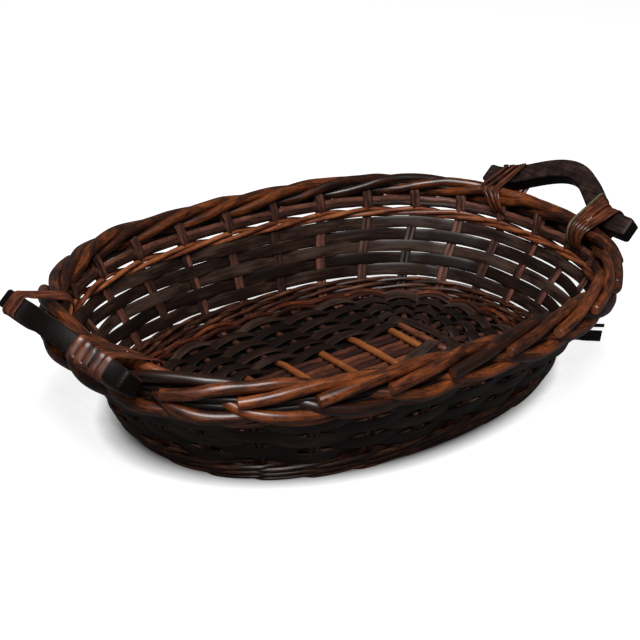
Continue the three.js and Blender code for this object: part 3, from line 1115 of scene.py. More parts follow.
    def build_sticks(self) -> None:
        """Lays the crossed sticks and runs them out as spokes."""
        outline = round_outline(self.radius)
        numbers = range(-self.beside, self.beside + 1)
        long_piece, cross_piece = Mesher("crossed_willow_sticks"), Mesher("cross_sticks")
        for number in numbers:
            rod = self.long_stick(number)
            tone = (0.5 + number * 0.29) % 1.0
            long_piece.add(rod, outline, self.taper(len(rod.centre)), number * 0.7, tone=tone)
        for number in numbers:
            rod = self.cross_stick(number)
            # One end stick was stained with the long ones.
            piece = long_piece if number == self.beside else cross_piece
            size = self.taper(len(rod.centre)) * 1.04
            piece.add(rod, outline, size, number * 0.9, tone=0.5 + number * 0.1)
        dress(cross_piece.finish([self.looks[Finish.CROSS_STICK]]), ["crossed_sticks"])
        dress(long_piece.finish([self.looks[Finish.LONG_STICK]]), ["crossed_sticks"])

        # Past the first row the same sticks stand in the weave, stained through and a little thinner.
        piece = Mesher("floor_spokes")
        shares = (0.05, 0.2, 0.4, 0.6, 1 - self.leg / self.depth)
        for stake in range(self.oval.stakes):
            path = smooth_curve([self.on_spoke(stake, share) for share in shares], 6)
            size = np.linspace(0.96, 0.82, len(path))
            piece.add(Strand.laid(path, UP), outline, size, start=stake * 0.6, blunt=0.6)
        dress(piece.finish([self.looks[Finish.STAKE]]), ["crossed_sticks"])

    def build_splints(self) -> None:
        """Weaves the flat splints. The frame holds the two inmost rows as one."""
        stand_off = self.radius + self.air + self.splint_thickness / 2
        outline = splint_outline(self.splint_width, self.splint_thickness)
        nodes = numbered("floor_splint", self.rows - 1)
        for row, node in enumerate([nodes[0]] + nodes):
            share = (row + 0.5) / self.rows * (1 - self.reed_rows / self.depth)
            piece = Mesher(f"dark_floor_row_{row + 1}")
            strand = self.row_strand(row, share, stand_off)
            piece.add(strand, outline, start=row * 1.7, tone=(0.2 + row * 0.37) % 0.8)
            if row == 0:
                self.add_loose_start(piece, outline)
            dress(piece.finish([self.looks[Finish.SPLINT]]), [node])

    def add_loose_start(self, piece: Mesher, outline: np.ndarray) -> None:
        """Lays the first splint's loose start across the sticks at one end.

        Args:
            piece: The first row.
            outline: The splint's section.
        """
        path = smooth_curve(self.loose_start, 6)
        ahead = unit(np.gradient(path, axis=0))
        across = unit(np.cross(UP, ahead))
        piece.add(Strand(path, across, np.cross(ahead, across)), outline, start=3.1, tone=0.75)

    def build_reeds(self) -> None:
        """Weaves the round reeds inside the foot."""
        outline = round_outline(self.reed_radius, 8)
        for row, node in enumerate(numbered("floor_reed", self.reeds)):
            inset = self.reed_inset + (self.reeds - 1 - row) * self.reed_pitch
            share = 1 - inset / self.depth
            piece = Mesher(f"red_{node}")
            strand = self.row_strand(row + self.rows, share, self.reed_stand_off, self.reed_swing)
            piece.add(strand, outline, start=row * 1.1, tone=0.1 + row * 0.22)
            dress(piece.finish([self.looks[Finish.REED]]), [node])

    def build(self) -> None:
        """Builds the floor."""
        self.build_sticks()
        self.build_splints()
        self.build_reeds()


# ------------------------------------------------------------------------------ wall


@dataclass
class Wall:
    """Woven wall: stakes, reeds at the foot, flat splints, waling, and turned-down tails.

    Attributes:
        oval: The tray's plan.
        looks: The materials.
        rod_width: Width of one split rod of a stake. Two stand side by side.
        rod_depth: Its depth through the wall.
        rod_offset: How far each of the two stands from the stake's middle, in widths.
        bend: Radius of the bend from the floor into the wall.
        post: Heights that a stake passes, and how far it stands out of the wall's middle there.
        first_row: Height of the middle of the lowest splint.
        row_pitch: From one splint to the next.
        rows: How many rows of splint.
        splint_width: Width of a splint.
        splint_thickness: Its thickness.
        splint_tones: How light each splint's stain is, from the lowest up.
        air: Between a splint and a stake.
        stroke_power: Exponent of a stroke's reach. Below 1 it lies flatter on the stake.
        clapboard: How far a splint leans over the one below, as a share of its width.
        lead: How far before its first stake a splint starts, in stakes.
        lap: How far its ends lap, in stakes.
        stray_row: Row whose end was not trimmed, counted from 0.
        stray_ends: Stake, height, length and share of the splint's width of its loose strips.
        foot_rows: Nodes of the foot's reeds, with their heights.
        foot_spread: How far a rod of the foot's reeds swings up and down.
        reed_radius: Radius of the foot's reeds.
        wale_radius: Radius of the waling reeds.
        wale_height: Height of the waling's middle.
        wale_spread: How far a rod of the waling swings up and down.
        wale_sag: How far a short outer stroke of the waling hangs, clear of the border.
        press: How far a reed beds into a stake.
        tail_height: Height of the tails' middle.
        tail_width: Width of each of a tail's two rods.
        tail_offset: How far each of them lies from the tail's middle, in widths.
    """

    oval: Oval
    looks: Wardrobe
    rod_width: float = 3.9
    rod_depth: float = 2.5
    rod_offset: float = 0.49
    bend: float = 3.2
    post: tuple[tuple[float, float], ...] = (
        (12.0, 0.0),
        (24.0, 0.0),
        (36.0, 0.0),
        (48.0, 0.0),
        (60.0, 0.0),
        (67.0, -0.3),
        (71.0, -0.8),
        (77.0, -1.4),
    )
    first_row: float = 20.3
    row_pitch: float = 8.0
    rows: int = 5
    splint_width: float = 9.2
    splint_thickness: float = 0.9
    splint_tones: tuple[float, ...] = (0.5, 0.2, 0.8, 0.4, 0.65)
    air: float = 0.2
    stroke_power: float = 0.8
    clapboard: float = 0.14
    lead: float = 0.35
    lap: float = 1.35
    stray_row: int = 3
    stray_ends: tuple[tuple[float, float, float, float], ...] = (
        (-4.0, 45.5, 16.0, 1.0),
        (-3.75, 49.0, 13.0, 0.3),
    )
    foot_rows: tuple[tuple[str, float], ...] = (
        ("bend_reed", 4.4),
        ("upsett_reed_01", 8.5),
        ("upsett_reed_02", 13.0),
    )
    foot_spread: float = 1.45
    reed_radius: float = 1.5
    wale_radius: float = 1.85
    wale_height: float = 60.0
    wale_spread: float = 2.1
    wale_sag: float = 1.4
    press: float = 0.1
    tail_height: float = 67.2
    tail_width: float = 4.3
    tail_offset: float = 0.43

    def waled(self, height: float, radius: float, spread: float, long_outside: bool) -> Strand:
        """Lays a waling: three rods, each past two stakes on one side and one on the other.

        Each rod goes on where the next began, so that the waling is one strand of three rounds.

        Args:
            height: Of the waling's middle.
            radius: Of a rod.
            spread: How far a rod swings above and below the middle.
            long_outside: Whether the long strokes lie outside the wall or inside it.

        Returns:
            The strand, a ring.
        """
        steps, rods = 10, 3
        stake = np.arange(rods * self.oval.stakes * steps) / steps
        turn = 2 * np.pi * stake / rods + (np.pi if long_outside else 0.0)
        side = 1.0 if long_outside else -1.0
        reach = self.rod_depth / 2 + radius - self.press
        # A long stroke lies along two stakes, and a short one turns round one of them.
        away = side * np.interp(side * np.cos(turn), [-1, -0.25, 0.5, 1], [-1, 0, 1, 1.1])
        wander = 0.25 * np.sin(stake * 2.3 + height) + 0.2 * np.sin(stake * 0.71 + height)
        sag = 0.0 if long_outside else self.wale_sag * np.maximum(away, 0.0)
        frames = self.oval.wall(stake, height + spread * np.sin(turn) + wander - sag)
        return Strand.laid(frames.moved(out=reach * away), frames.rise, closed=True)

    def build_stakes(self, floor: Floor) -> None:
        """Sets the stakes: a leg in the floor, a bend at the foot, and a post in the wall.

        Args:
            floor: The floor whose spokes they carry on.
        """
        half = round_outline(1.0, 8) * [self.rod_width / 2, self.rod_depth / 2]
        for stake, node in enumerate(numbered("stake", self.oval.stakes)):
            foot = self.oval.wall(stake, self.oval.mid)
            base = foot.place[0]
            inward = unit(floor.spoke_start(stake) - base)
            heights, offset = np.array(self.post).T
            post = self.oval.wall(np.full(len(heights), stake), heights)
            control = np.vstack([
                base + inward * floor.leg,
                base + inward * floor.leg / 2,
                base + inward * self.bend,
                base + foot.rise[0] * self.bend,
                post.moved(out=offset),
            ])
            rod = Strand.laid(smooth_curve(control, 5), foot.along[0])
            piece = Mesher(f"willow_{node}")
            for side in (-1, 1):
                piece.add(
                    rod.shifted(side * self.rod_width * self.rod_offset),
                    half,
                    start=stake * 0.31 + side * 0.1,
                    tone=(stake * 0.37 + side * 0.1) % 1.0,
                )
            dress(piece.finish([self.looks[Finish.STAKE]]), [node])

    def build_tails(self) -> None:
        """Turns down a tail at each stake: a short post under the border, folded over sideways."""
        post = round_outline(1.0, 10) * [self.rod_width / 2, self.rod_depth / 2]
        bar = round_outline(1.0, 10) * [self.tail_width / 2, self.rod_depth / 2]
        low = self.tail_height
        for stake, node in enumerate(numbered("stake", self.oval.stakes)):
            rng = np.random.default_rng(TAIL_SEED + stake)
            piece = Mesher(f"willow_tail_{stake + 1:02d}")
            drop = rng.uniform(-0.5, 0.4)
            # Stakes along, height, and depth inside the wall's middle.
            down = np.array([
                (0.05, low + 10.0, 5.0),
                (0.02, low + 6.0, 5.2),
                (0.0, low + 2.0, 4.9),
                (0.0, low - 1.6, 4.6),
                (-0.03, low - 4.0 + drop, 4.1),
            ])
            across = np.array([
                (0.06, low - 1.0, 2.6),
                (-0.08, low - 0.3, 3.4),
                (-0.3, low + drop, 3.5),
                (-0.6, low + 0.2, 3.0),
                (-0.85, low + 0.2, 1.9),
                (-1.08, low + 0.1, 1.3),
            ])
            for control, outline, width in ((down, post, self.rod_width), (across, bar, self.tail_width)):
                dense = smooth_curve(control, 6)
                frames = self.oval.wall(stake + dense[:, 0], dense[:, 1])
                path = frames.moved(out=-dense[:, 2])
                ahead = unit(np.gradient(path, axis=0))
                side_way = unit(np.cross(frames.out, ahead))
                strand = Strand(path, side_way, np.cross(ahead, side_way))
                for side in (-1, 1):
                    # On the bar the upper rod is painted lighter and the lower one darker: painted light on
                    # top, painted shade beneath.
                    tone = rng.uniform(0.35, 0.7) if control is down else 0.5 - 0.35 * side
                    rod = strand.shifted(side * width * self.tail_offset)
                    piece.add(rod, outline, start=stake * 0.37 + side * 0.1, blunt=0.3, tone=tone)
            dress(piece.finish([self.looks[Finish.STAKE]]), [node])

    def splint_strand(self, row: int, height: float) -> Strand:
        """Lays one splint round the wall, in front of one stake and behind the next.

        Args:
            row: Its number, which settles which stakes it passes outside.
            height: Of its middle.

        Returns:
            The strand, open, with its ends lapped.
        """
        steps = 14
        # Each row starts nine stakes on from the one below, so that the laps don't stand in a pile.
        first = 3 + row * 9
        count = int((self.oval.stakes + self.lap) * steps) + 1
        stake = first - self.lead + np.arange(count) / steps
        side = np.cos(np.pi * (stake + row))
        stand_off = self.rod_depth / 2 + self.air + self.splint_thickness / 2
        wave = np.sign(side) * np.abs(side) ** self.stroke_power * stand_off
        # A hand never lays a strand quite level.
        wander = 0.16 * np.sin(stake * 1.7 + row * 2.1) + 0.1 * np.sin(stake * 3.9 + row)
        # After one round the splint moves inward over its own start.
        over = np.clip((stake - stake[0] - self.oval.stakes) / 0.25 + 0.6, 0, 1)
        frames = self.oval.wall(stake, height + wander)
        path = frames.moved(out=wave - over * (self.splint_thickness + 0.1))
        return Strand.laid(path, frames.rise - frames.out * self.clapboard)

    def add_stray_end(
        self, piece: Mesher, outline: np.ndarray, stake: float, height: float, length: float
    ) -> None:
        """Leaves the end of a splint standing off the wall, where it was not trimmed.

        Args:
            piece: The row that it belongs to.
            outline: Its section.
            stake: Where it comes out from behind the next stroke.
            height: Of its middle there.
            length: Of the free end.
        """
        # It comes through from inside the wall and stands off, outward and a little along.
        frames = self.oval.wall(stake + np.array([-0.5, -0.2, 0.0]), height)
        hidden = frames.moved(out=np.array([0.2, 1.6, 3.0]))
        away = unit(frames.along[-1] * 0.45 + frames.plan[-1] * 0.9)
        control = np.vstack([hidden, hidden[-1] + away * length * 0.5, hidden[-1] + away * length])
        strip = Strand.laid(smooth_curve(control, 5), frames.rise[-1])
        piece.add(strip, outline, start=2.2, tone=0.3)

    def build_weave(self) -> None:
        """Weaves the reeds at the foot, the splints and the waling."""
        reed = round_outline(self.reed_radius, 8)
        for row, (node, height) in enumerate(self.foot_rows):
            piece = Mesher(f"red_{node}")
            strand = self.waled(height, self.reed_radius, self.foot_spread, long_outside=True)
            piece.add(strand, reed, start=row * 1.3)
            # The foot's reeds take the darker copy of the cane: painted shade.
            dress(piece.finish([self.looks[Finish.FOOT_REED_PAINTED_SHADE]]), [node])
        outline = splint_outline(self.splint_width, self.splint_thickness)
        for row, node in enumerate(numbered("wall_splint", self.rows)):
            piece = Mesher(f"dark_{node}")
            strand = self.splint_strand(row, self.first_row + row * self.row_pitch)
            piece.add(strand, outline, start=row * 1.9 + 0.4, tone=self.splint_tones[row])
            if row == self.stray_row:
                for stake, height, length, share in self.stray_ends:
                    self.add_stray_end(piece, outline * [share, 1.0], stake, height, length)
            dress(piece.finish([self.looks[Finish.SPLINT]]), [node])
        piece = Mesher("red_waling")
        strand = self.waled(self.wale_height, self.wale_radius, self.wale_spread, long_outside=False)
        piece.add(strand, round_outline(self.wale_radius, 10), start=0.8, tone=0.7)
        # The waling takes the lighter copy of the cane: painted light.
        dress(piece.finish([self.looks[Finish.WALE]]), ["wale_reed_01", "wale_reed_02"])

    def build(self, floor: Floor) -> None:
        """Builds the wall.

        Args:
            floor: The floor that it stands on.
        """
        self.build_stakes(floor)
        self.build_tails()
        self.build_weave()


# ------------------------------------------------------------------------------ border


@dataclass
class Border:
    """Plaited border: thick rods, each cut off on the outer shoulder of the plait.

    From its cut end a rod runs counter-clockwise over the top, turns under the inner edge, passes
    beneath the next rods and shows again along the outside before it goes down into the wall.

    Attributes:
        oval: The tray's plan.
        looks: The materials.
        rods: How many rods.
        first: Stake number of one cut end.
        height: Of the plait's middle.
        outset: Of the plait's middle from the wall's middle surface.
        radius: Of a rod.
        sizes: Smallest and largest size of a rod, as a share of that.
        tones: Darkest and lightest stain of a rod, from 0 to 1.
        unevenness: How far a rod strays from its place in the plait.
        cut_unevenness: How far a cut end strays along the plait, in rod pitches.
        core: How far down the slope and out of it each rod of the core runs.
        core_radius: Of a rod of the core.
        core_sway: How far it sways down the slope and back, once for each rod of the plait.
        sag: How far the lower arms hang at the left end.
        sag_reach: How far from the middle they do so in full.
        sag_from: How far down the slope an arm does so in full.
        wander: How far a plait laid by hand strays outward from the even oval, at stake numbers.
        lay: What a rod passes from its cut end on: how far along in rod pitches, how far down the
            slope, how far out of it, and the rod's size there.
    """

    oval: Oval
    looks: Wardrobe
    rods: int = 26
    first: float = -12.19
    height: float = 77.5
    outset: float = -0.9
    radius: float = 3.75
    sizes: tuple[float, float] = (0.88, 1.14)
    tones: tuple[float, float] = (0.2, 0.9)
    unevenness: float = 0.28
    cut_unevenness: float = 0.07
    core: tuple[tuple[float, float], ...] = ((-2.8, 0.6), (2.6, 0.6), (6.0, -2.6))
    core_radius: float = 2.5
    core_sway: float = 0.5
    sag: float = 5.0
    sag_reach: float = 200.0
    sag_from: float = 8.0
    wander: tuple[tuple[float, float], ...] = (
        (0.0, 2.0),
        (2.0, 0.0),
        (6.0, -0.5),
        (8.0, 0.5),
        (9.3, 2.4),
        (10.2, 0.6),
        (11.0, -1.6),
        (12.0, 0.4),
        (13.0, 2.6),
        (14.0, 3.0),
        (15.0, 2.4),
        (17.0, 0.0),
        (22.5, 0.0),
        (24.0, -2.2),
        (25.2, -2.4),
        (26.6, 0.0),
    )
    lay: tuple[tuple[float, float, float, float], ...] = (
        (-0.06, 4.9, 6.5, 0.97),
        (0.4, 1.6, 6.9, 1.0),
        (0.8, -2.0, 6.6, 1.02),
        (1.15, -4.8, 5.4, 1.0),
        (1.5, -6.3, 4.0, 0.98),
        (1.82, -6.7, 1.8, 0.93),
        (2.12, -5.4, -1.0, 0.88),
        (2.45, -2.0, -2.4, 0.86),
        (2.75, 2.0, -1.4, 0.92),
        (3.1, 7.2, 0.2, 1.03),
        (3.5, 10.3, -1.4, 1.06),
        (3.95, 9.6, -2.8, 0.96),
        (4.35, 7.2, -4.3, 0.84),
        (4.7, 4.8, -5.4, 0.74),
    )

    def section_frame(self, stake: np.ndarray) -> tuple[np.ndarray, np.ndarray, np.ndarray]:
        """Finds the plait's section at places round the border.

        Args:
            stake: Stake numbers, fractions allowed.

        Returns:
            Its middle, the direction down its slope and the direction out of it, at each.
        """
        frames = self.oval.wall(stake, self.height)
        stakes, wander = np.array(self.wander).T
        outset = self.outset + np.interp(np.atleast_1d(stake), stakes, wander, period=self.oval.stakes)
        centre = frames.place + frames.plan * outset[:, None]
        return centre, unit(frames.plan - UP), unit(frames.plan + UP)

    def rod(self, number: int) -> tuple[Strand, np.ndarray]:
        """Lays one rod.

        Args:
            number: Which one.

        Returns:
            Its strand, and its size along the way.
        """
        rng = np.random.default_rng(ROD_SEED + number)
        pitch = self.oval.stakes / self.rods
        # No two rods are equally thick, nor lie in quite the same place.
        control = np.array(self.lay)
        control[:, 1:3] += rng.normal(0, self.unevenness, (len(control), 2))
        control[0, 0] += rng.uniform(-self.cut_unevenness, self.cut_unevenness)
        dense = smooth_curve(control, 7)
        stake = self.first + (number + dense[:, 0]) * pitch
        centre, slope, out = self.section_frame(stake)
        left = np.clip(-centre[:, :1] / self.sag_reach, 0, 1)
        hang = np.clip(dense[:, 1:2] / self.sag_from, 0, 1)
        path = centre + slope * dense[:, 1:2] + out * dense[:, 2:3] - UP * (self.sag * left**4 * hang)
        size = dense[:, 3] * rng.uniform(*self.sizes)
        return Strand.laid(path, out), size

    def tone(self, number: int) -> float:
        """Returns how light the stain of a rod is."""
        return float(np.random.default_rng(STAIN_SEED + number).uniform(*self.tones))

    def build_core(self) -> None:
        """Lays the stakes' tops, bent over inside the plait, as three rods that run round in it, in the
        darkest splint stain: painted shade inside the plait.
        """
        piece = Mesher("border_core")
        steps = 10
        stake = np.arange(self.oval.stakes * steps) / steps
        centre, slope, out = self.section_frame(stake)
        for number, (down, away) in enumerate(self.core):
            sway = self.core_sway * np.sin(2 * np.pi * stake * self.rods / self.oval.stakes + number)
            path = centre + slope * (down + sway[:, None]) + out * away
            strand = Strand.laid(path, out, closed=True)
            # Tone 0 of the splint stain stands for the shade inside the plait: painted shade.
            piece.add(strand, round_outline(self.core_radius, 10), start=number * 0.4, tone=0.0)
        dress(piece.finish([self.looks[Finish.SPLINT]]), numbered("border_strand", 3))

    def build(self) -> None:
        """Plaits the border."""
        self.build_core()
        nodes = numbered("border_strand", 3)
        outline = round_outline(self.radius, 14)
        looks = [self.looks[Finish.BORDER], self.looks[Finish.CUT]]
        for number in range(self.rods):
            strand, size = self.rod(number)
            piece = Mesher(f"border_rod_{number + 1:02d}")
            tone = self.tone(number)
            piece.add(strand, outline, size, number * 0.47, cut_slot=1, blunt=0.7, tone=tone)
            dress(piece.finish(looks), [nodes[number % len(nodes)]])


# ------------------------------------------------------------------------------ handles


class End(Enum):
    """The two ends of the tray, with what carries a place at the +X end to each."""

    RIGHT = (1.0, 1.0, 1.0)
    LEFT = tuple(HALF_TURN.tolist())


@dataclass(frozen=True)
class Binding:
    """One coil of skein round a foot of a handle and the border.

    Attributes:
        word: Which foot it binds, as the frame names it.
        tops: Distance across the tray at which each turn crosses the top of the bar, for the handle
            at +X. The other end is the same, turned half round.
        slot: Distance across the tray at which the turns gather and go through the wall.
        pull: How far they gather, from 0 to 1.
        width: Of the skein.
        crowding: How much narrower a turn is pressed where it passes inside the wall.
        straw: Whether it is a wisp of undyed straw, which holds the end of the skein.
    """

    word: str
    tops: tuple[float, ...]
    slot: float
    pull: float
    width: float = 3.3
    crowding: float = 0.3
    straw: bool = False


BINDINGS = {
    End.RIGHT: (
        Binding("far", (58.2, 52.6, 48.0, 44.0), 0.0, 0.3, 4.1),
        Binding("near", (-56.8, -52.8, -49.0, -45.2, -41.4, -37.6), -38.0, 0.3, 4.1, 0.1),
        Binding("near", (-35.2, -34.7, -35.3), -38.0, 0.3, 1.7, straw=True),
    ),
    End.LEFT: (
        Binding("far", (49.4, 45.2, 40.8, 36.6, 32.0), 41.0, 0.12, 5.9, 0.42),
        Binding("near", (-58.8, -56.5, -54.2, -51.9), -44.5, 0.45, 5.7),
    ),
}


@dataclass
class Handle:
    """Bent-wood handle, leaning out over one end of the tray, with its two lashings.

    Attributes:
        end: Which end of the tray.
        border: The plait that it rests on.
        looks: The materials.
        width: Of the bar, in the plane of the arch.
        thickness: Of the bar, through the arch.
        length: From foot to foot.
        short_foot: From the middle to the far foot of the left bar, which is a little short.
        foot_start: Distance from the middle at which a bar's foot begins to stand plumb.
        foot_run: How far on it does so in full.
        end_size: Size of a sawn end, as a share: its rim is rubbed down.
        edge: Width of the eased edges.
        cuts: How many cuts the straight bar gets, so that it can be bent.
        planing: How uneven its planed faces are, as a share of its thickness.
        rise: Of the arch above its feet.
        spans: Half-span of the arch on the far and the near side.
        origin: Middle of the line between the feet, along and up.
        slot_height: Height at which the lashings go through the wall.
        slot_depth: How far inside the wall's middle they pass there.
        plait: Half-width and half-depth of the plait that they bind.
        skein_depth: Half-thickness of a turn of skein.
        slack: How far a turn stands off what it binds.
        shingle: How steeply a turn of skein is tilted, as a share of its width.
        start_angle: Where a coil starts, in degrees from level outward: below the bar.
        gather_angle: Where its turns gather most: below, on the inner side.
        steps: Points in each turn of a lashing.
        spacing: Between those points after they are spread evenly.
    """

    end: End
    border: Border
    looks: Wardrobe
    width: float = 15.2
    thickness: float = 12.6
    length: float = 143.0
    short_foot: float = 64.0
    foot_start: float = 60.0
    foot_run: float = 8.0
    end_size: float = 0.88
    edge: float = 1.5
    cuts: int = 47
    planing: float = 0.015
    rise: float = 26.6
    spans: tuple[float, float] = (67.0, 56.0)
    origin: tuple[float, float] = (212.8, 85.8)
    slot_height: float = 72.6
    slot_depth: float = 9.2
    plait: tuple[float, float] = (12.0, 10.0)
    skein_depth: float = 0.95
    slack: float = 0.7
    shingle: float = 0.16
    start_angle: float = -92.0
    gather_angle: float = 232.0
    steps: int = 60
    spacing: float = 1.6

    @property
    def feet(self) -> tuple[float, float]:
        """Distances from the middle to the bar's two sawn ends."""
        half = self.length / 2
        return (self.short_foot if self.end is End.LEFT else half, half)

    @property
    def up(self) -> np.ndarray:
        """Direction up the arch, at the +X end."""
        return unit(np.array([1.0, 0.0, 1.0]))

    @property
    def through(self) -> np.ndarray:
        """Direction through the bar's thickness, outward and down, at the +X end."""
        return unit(np.array([1.0, 0.0, -1.0]))

    def arch(self, across: np.ndarray) -> np.ndarray:
        """Follows the bar's centre line.

        Args:
            across: Distances across the tray.

        Returns:
            How high up the arch it runs at each.
        """
        span = np.where(across > 0, self.spans[0], self.spans[1])
        share = np.clip(np.abs(across) / span, 0, 1)
        return self.rise * 0.5 * (1 + np.cos(np.pi * share))

    def place(self, across: np.ndarray, high: np.ndarray, deep: np.ndarray) -> np.ndarray:
        """Turns places on the handle into the tray's frame, at the +X end.

        Args:
            across: Distances across the tray.
            high: Distances up the arch from the line between the feet.
            deep: Distances through the bar.

        Returns:
            The points.
        """
        start = np.array([self.origin[0], 0.0, self.origin[1]])
        return (
            start
            + np.outer(across, [0.0, 1.0, 0.0])
            + np.outer(high, self.up)
            + np.outer(deep, self.through)
        )

    def turned(self, points: np.ndarray) -> np.ndarray:
        """Turns points from the +X end to this handle's end."""
        return points * np.array(self.end.value)

    def build_bar(self) -> None:
        """Bends a squared bar to the arch: cut into lengths, moved to the curve, edges eased."""
        name = self.end.name.lower()
        bpy.ops.object.select_all(action="DESELECT")
        bpy.ops.mesh.primitive_cube_add(size=1.0)
        bar = bpy.context.object
        bar.name = f"bent_wood_handle_{name}"
        bpy.ops.transform.resize(value=(self.length, self.width, self.thickness))
        bpy.ops.object.transform_apply(location=False, rotation=False, scale=True)
        bpy.ops.object.mode_set(mode="EDIT")
        cuts = bmesh.from_edit_mesh(bar.data)
        for edge in cuts.edges:
            ends = [vertex.co for vertex in edge.verts]
            edge.select = abs(ends[0].x - ends[1].x) > self.length * 0.9
        bmesh.update_edit_mesh(bar.data)
        bpy.ops.mesh.subdivide(number_cuts=self.cuts)
        bpy.ops.object.mode_set(mode="OBJECT")
        flat = np.array([vertex.co for vertex in bar.data.vertices])
        across, side, deep = flat.T
        sawn = np.abs(across) > self.length / 2 - 0.5
        side, deep = (np.where(sawn, self.end_size * value, value) for value in (side, deep))
        across = across * np.where(across > 0, *self.feet) / (self.length / 2)
        lean = np.arctan(self.arch(across + 0.5) - self.arch(across - 0.5))
        # The bar keeps its width square to the bend, less at the feet, which are cut off plumb.
        foot = np.clip((np.abs(across) - self.foot_start) / self.foot_run, 0, 1)
        high = self.arch(across) + side * np.cos(lean * (1 - foot))
        along = across - side * np.sin(lean) * (1 - foot)
        deep = deep * (1 + self.planing * np.sin(across * 0.11))
        points = self.turned(self.place(along, high, deep)) * MM
        bar.data.vertices.foreach_set("co", points.astype(np.float32).ravel())
        bevel = bar.modifiers.new("eased_edges", "BEVEL")
        bevel.width = self.edge * MM
        bevel.segments = 3
        bevel.limit_method = "ANGLE"
        bevel.angle_limit = math.radians(40)
        bpy.ops.object.modifier_apply(modifier=bevel.name)
        bpy.ops.object.mode_set(mode="EDIT")
        bpy.ops.mesh.select_all(action="SELECT")
        bpy.ops.mesh.normals_make_consistent(inside=False)
        bpy.ops.object.mode_set(mode="OBJECT")
        bpy.ops.object.shade_smooth_by_angle(angle=math.radians(32))
        bar.data.materials.append(self.looks.bent_wood)
        normals = np.array([face.normal for face in bar.data.polygons])
        away = self.turned(np.array([self.through]))[0]
        # The narrow faces and the sawn ends show open wood, and the two broad faces none.
        stain = bar.data.attributes.new("stain", "FLOAT", "FACE")
        stain.data.foreach_set("value", np.clip(1.4 - 1.6 * np.abs(normals @ away), 0, 1))
        dress(bar, [f"handle_{name}"])

    def hull(self, across: float, stake: float, direction: np.ndarray) -> np.ndarray:
        """Finds where a tight band touches what it binds.

        Args:
            across: Distance across the tray of the level cut that the band lies in.
            stake: Place round the edge of the border in that cut.
            direction: Outward direction of the band in that cut.

        Returns:
            The touched point.
        """
        centre, slope, out = (part[0] for part in self.border.section_frame(np.array([stake])))
        sides = 24
        turn = np.linspace(0, 2 * np.pi, sides, endpoint=False)[:, None]
        wide, deep = self.plait
        plait = centre + slope * wide * np.cos(turn) + out * deep * np.sin(turn)
        # The plait's section is turned into the level cut about its middle.
        plait[:, 0] = centre[0] + np.hypot(*(plait - centre)[:, :2].T) * np.sign((plait - centre)[:, 0])
        middle = np.full(4, across)
        high = self.arch(middle) + self.width * np.array([-0.5, -0.5, 0.5, 0.5])
        corners = self.place(middle, high, self.thickness * np.array([-0.5, 0.5, -0.5, 0.5]))
        inside = self.border.oval.wall(stake, self.slot_height).moved(out=-self.slot_depth)
        points = np.vstack([plait, corners, inside])
        points[:, 1] = across
        return points[np.argmax(points @ direction)]

    def coil(self, binding: Binding) -> tuple[np.ndarray, np.ndarray, np.ndarray]:
        """Winds one coil of skein.

        Args:
            binding: Where it is wound.

        Returns:
            The points of its middle line, the direction of its width, and its size at each.
        """
        side = math.copysign(1, binding.tops[0])
        # The first stakes from the tip hold every place that a handle is bound to.
        stakes = np.linspace(0, 6, 400) * side
        reach = np.abs(self.border.section_frame(stakes)[0][:, 1])
        points, sides, sizes = [], [], []
        for step in range(int((len(binding.tops) - 0.02) * self.steps)):
            share = step / self.steps
            # Half a turn on from its start, a turn crosses the top of the bar.
            angle = math.radians(self.start_angle + 360 * share)
            top = float(np.interp(share - 0.5, np.arange(len(binding.tops)), binding.tops))
            gather = math.cos((angle - math.radians(self.gather_angle)) / 2) ** 2
            across = top + (binding.slot - top) * binding.pull * gather
            direction = np.array([math.cos(angle), 0.0, math.sin(angle)])
            touched = [
                self.hull(place, float(np.interp(abs(place), reach, np.abs(stakes))) * side, direction)
                for place in (across - 1.0, across, across + 1.0)
            ]
            uneven = 0.35 * math.sin(2.1 * share) + 0.3 * math.sin(5.3 * share + binding.slot)
            slack = self.slack + uneven
            points.append(touched[1] + direction * slack)
            sides.append(unit(touched[2] - touched[0]))
            # Going inward, over the bar's inner corner and down, it is pressed narrower.
            pressed = min(max(0.6 - 2.0 * direction[0], 0.0), 1.0)
            sizes.append([1 - binding.crowding * pressed])
        return np.array(points), np.array(sides), np.array(sizes)

    def build_lashings(self) -> None:
        """Binds both feet to the border."""
        for binding in BINDINGS[self.end]:
            path, hint, size = self.even(*self.coil(binding))
            path = self.turned(path)
            flat = Strand.laid(path, self.turned(hint))
            # Each turn lies with one edge over the turn before.
            strand = Strand.laid(path, flat.across + flat.through * self.shingle)
            name = f"{self.end.name.lower()}_{binding.word}"
            piece = Mesher(f"{'straw' if binding.straw else 'skein'}_{name}")
            outline = round_outline(1.0, 12) * [binding.width / 2, self.skein_depth]
            piece.add(strand, outline, size, start=0.1 * binding.slot, tone=0.6)
            look = self.looks[Finish.STRAW if binding.straw else Finish.SKEIN]
            dress(piece.finish([look]), [f"lashing_{name}"])

    def even(
        self, points: np.ndarray, sides: np.ndarray, sizes: np.ndarray
    ) -> tuple[np.ndarray, np.ndarray, np.ndarray]:
        """Spaces a band's points evenly and eases its corners.

        Args:
            points: The touched points.
            sides: The direction of its width at each.
            sizes: Its size at each.

        Returns:
            The eased points, directions and sizes.
        """
        step = np.linalg.norm(np.diff(points, axis=0), axis=1)
        length = np.concatenate([[0], np.cumsum(step + 1e-4)])
        even = np.linspace(0, length[-1], int(length[-1] / self.spacing))
        runs = [np.interp(even, length, run) for run in np.hstack([points, sides, sizes]).T]
        mixed = np.stack(runs, axis=1)
        for _ in range(2):
            mixed[1:-1] = 0.25 * mixed[:-2] + 0.5 * mixed[1:-1] + 0.25 * mixed[2:]
        return mixed[:, :3], unit(mixed[:, 3:6]), mixed[:, 6]

    def build(self) -> None:
        """Builds the handle and its lashings."""
        self.build_bar()
        self.build_lashings()


# ------------------------------------------------------------------------------ studio


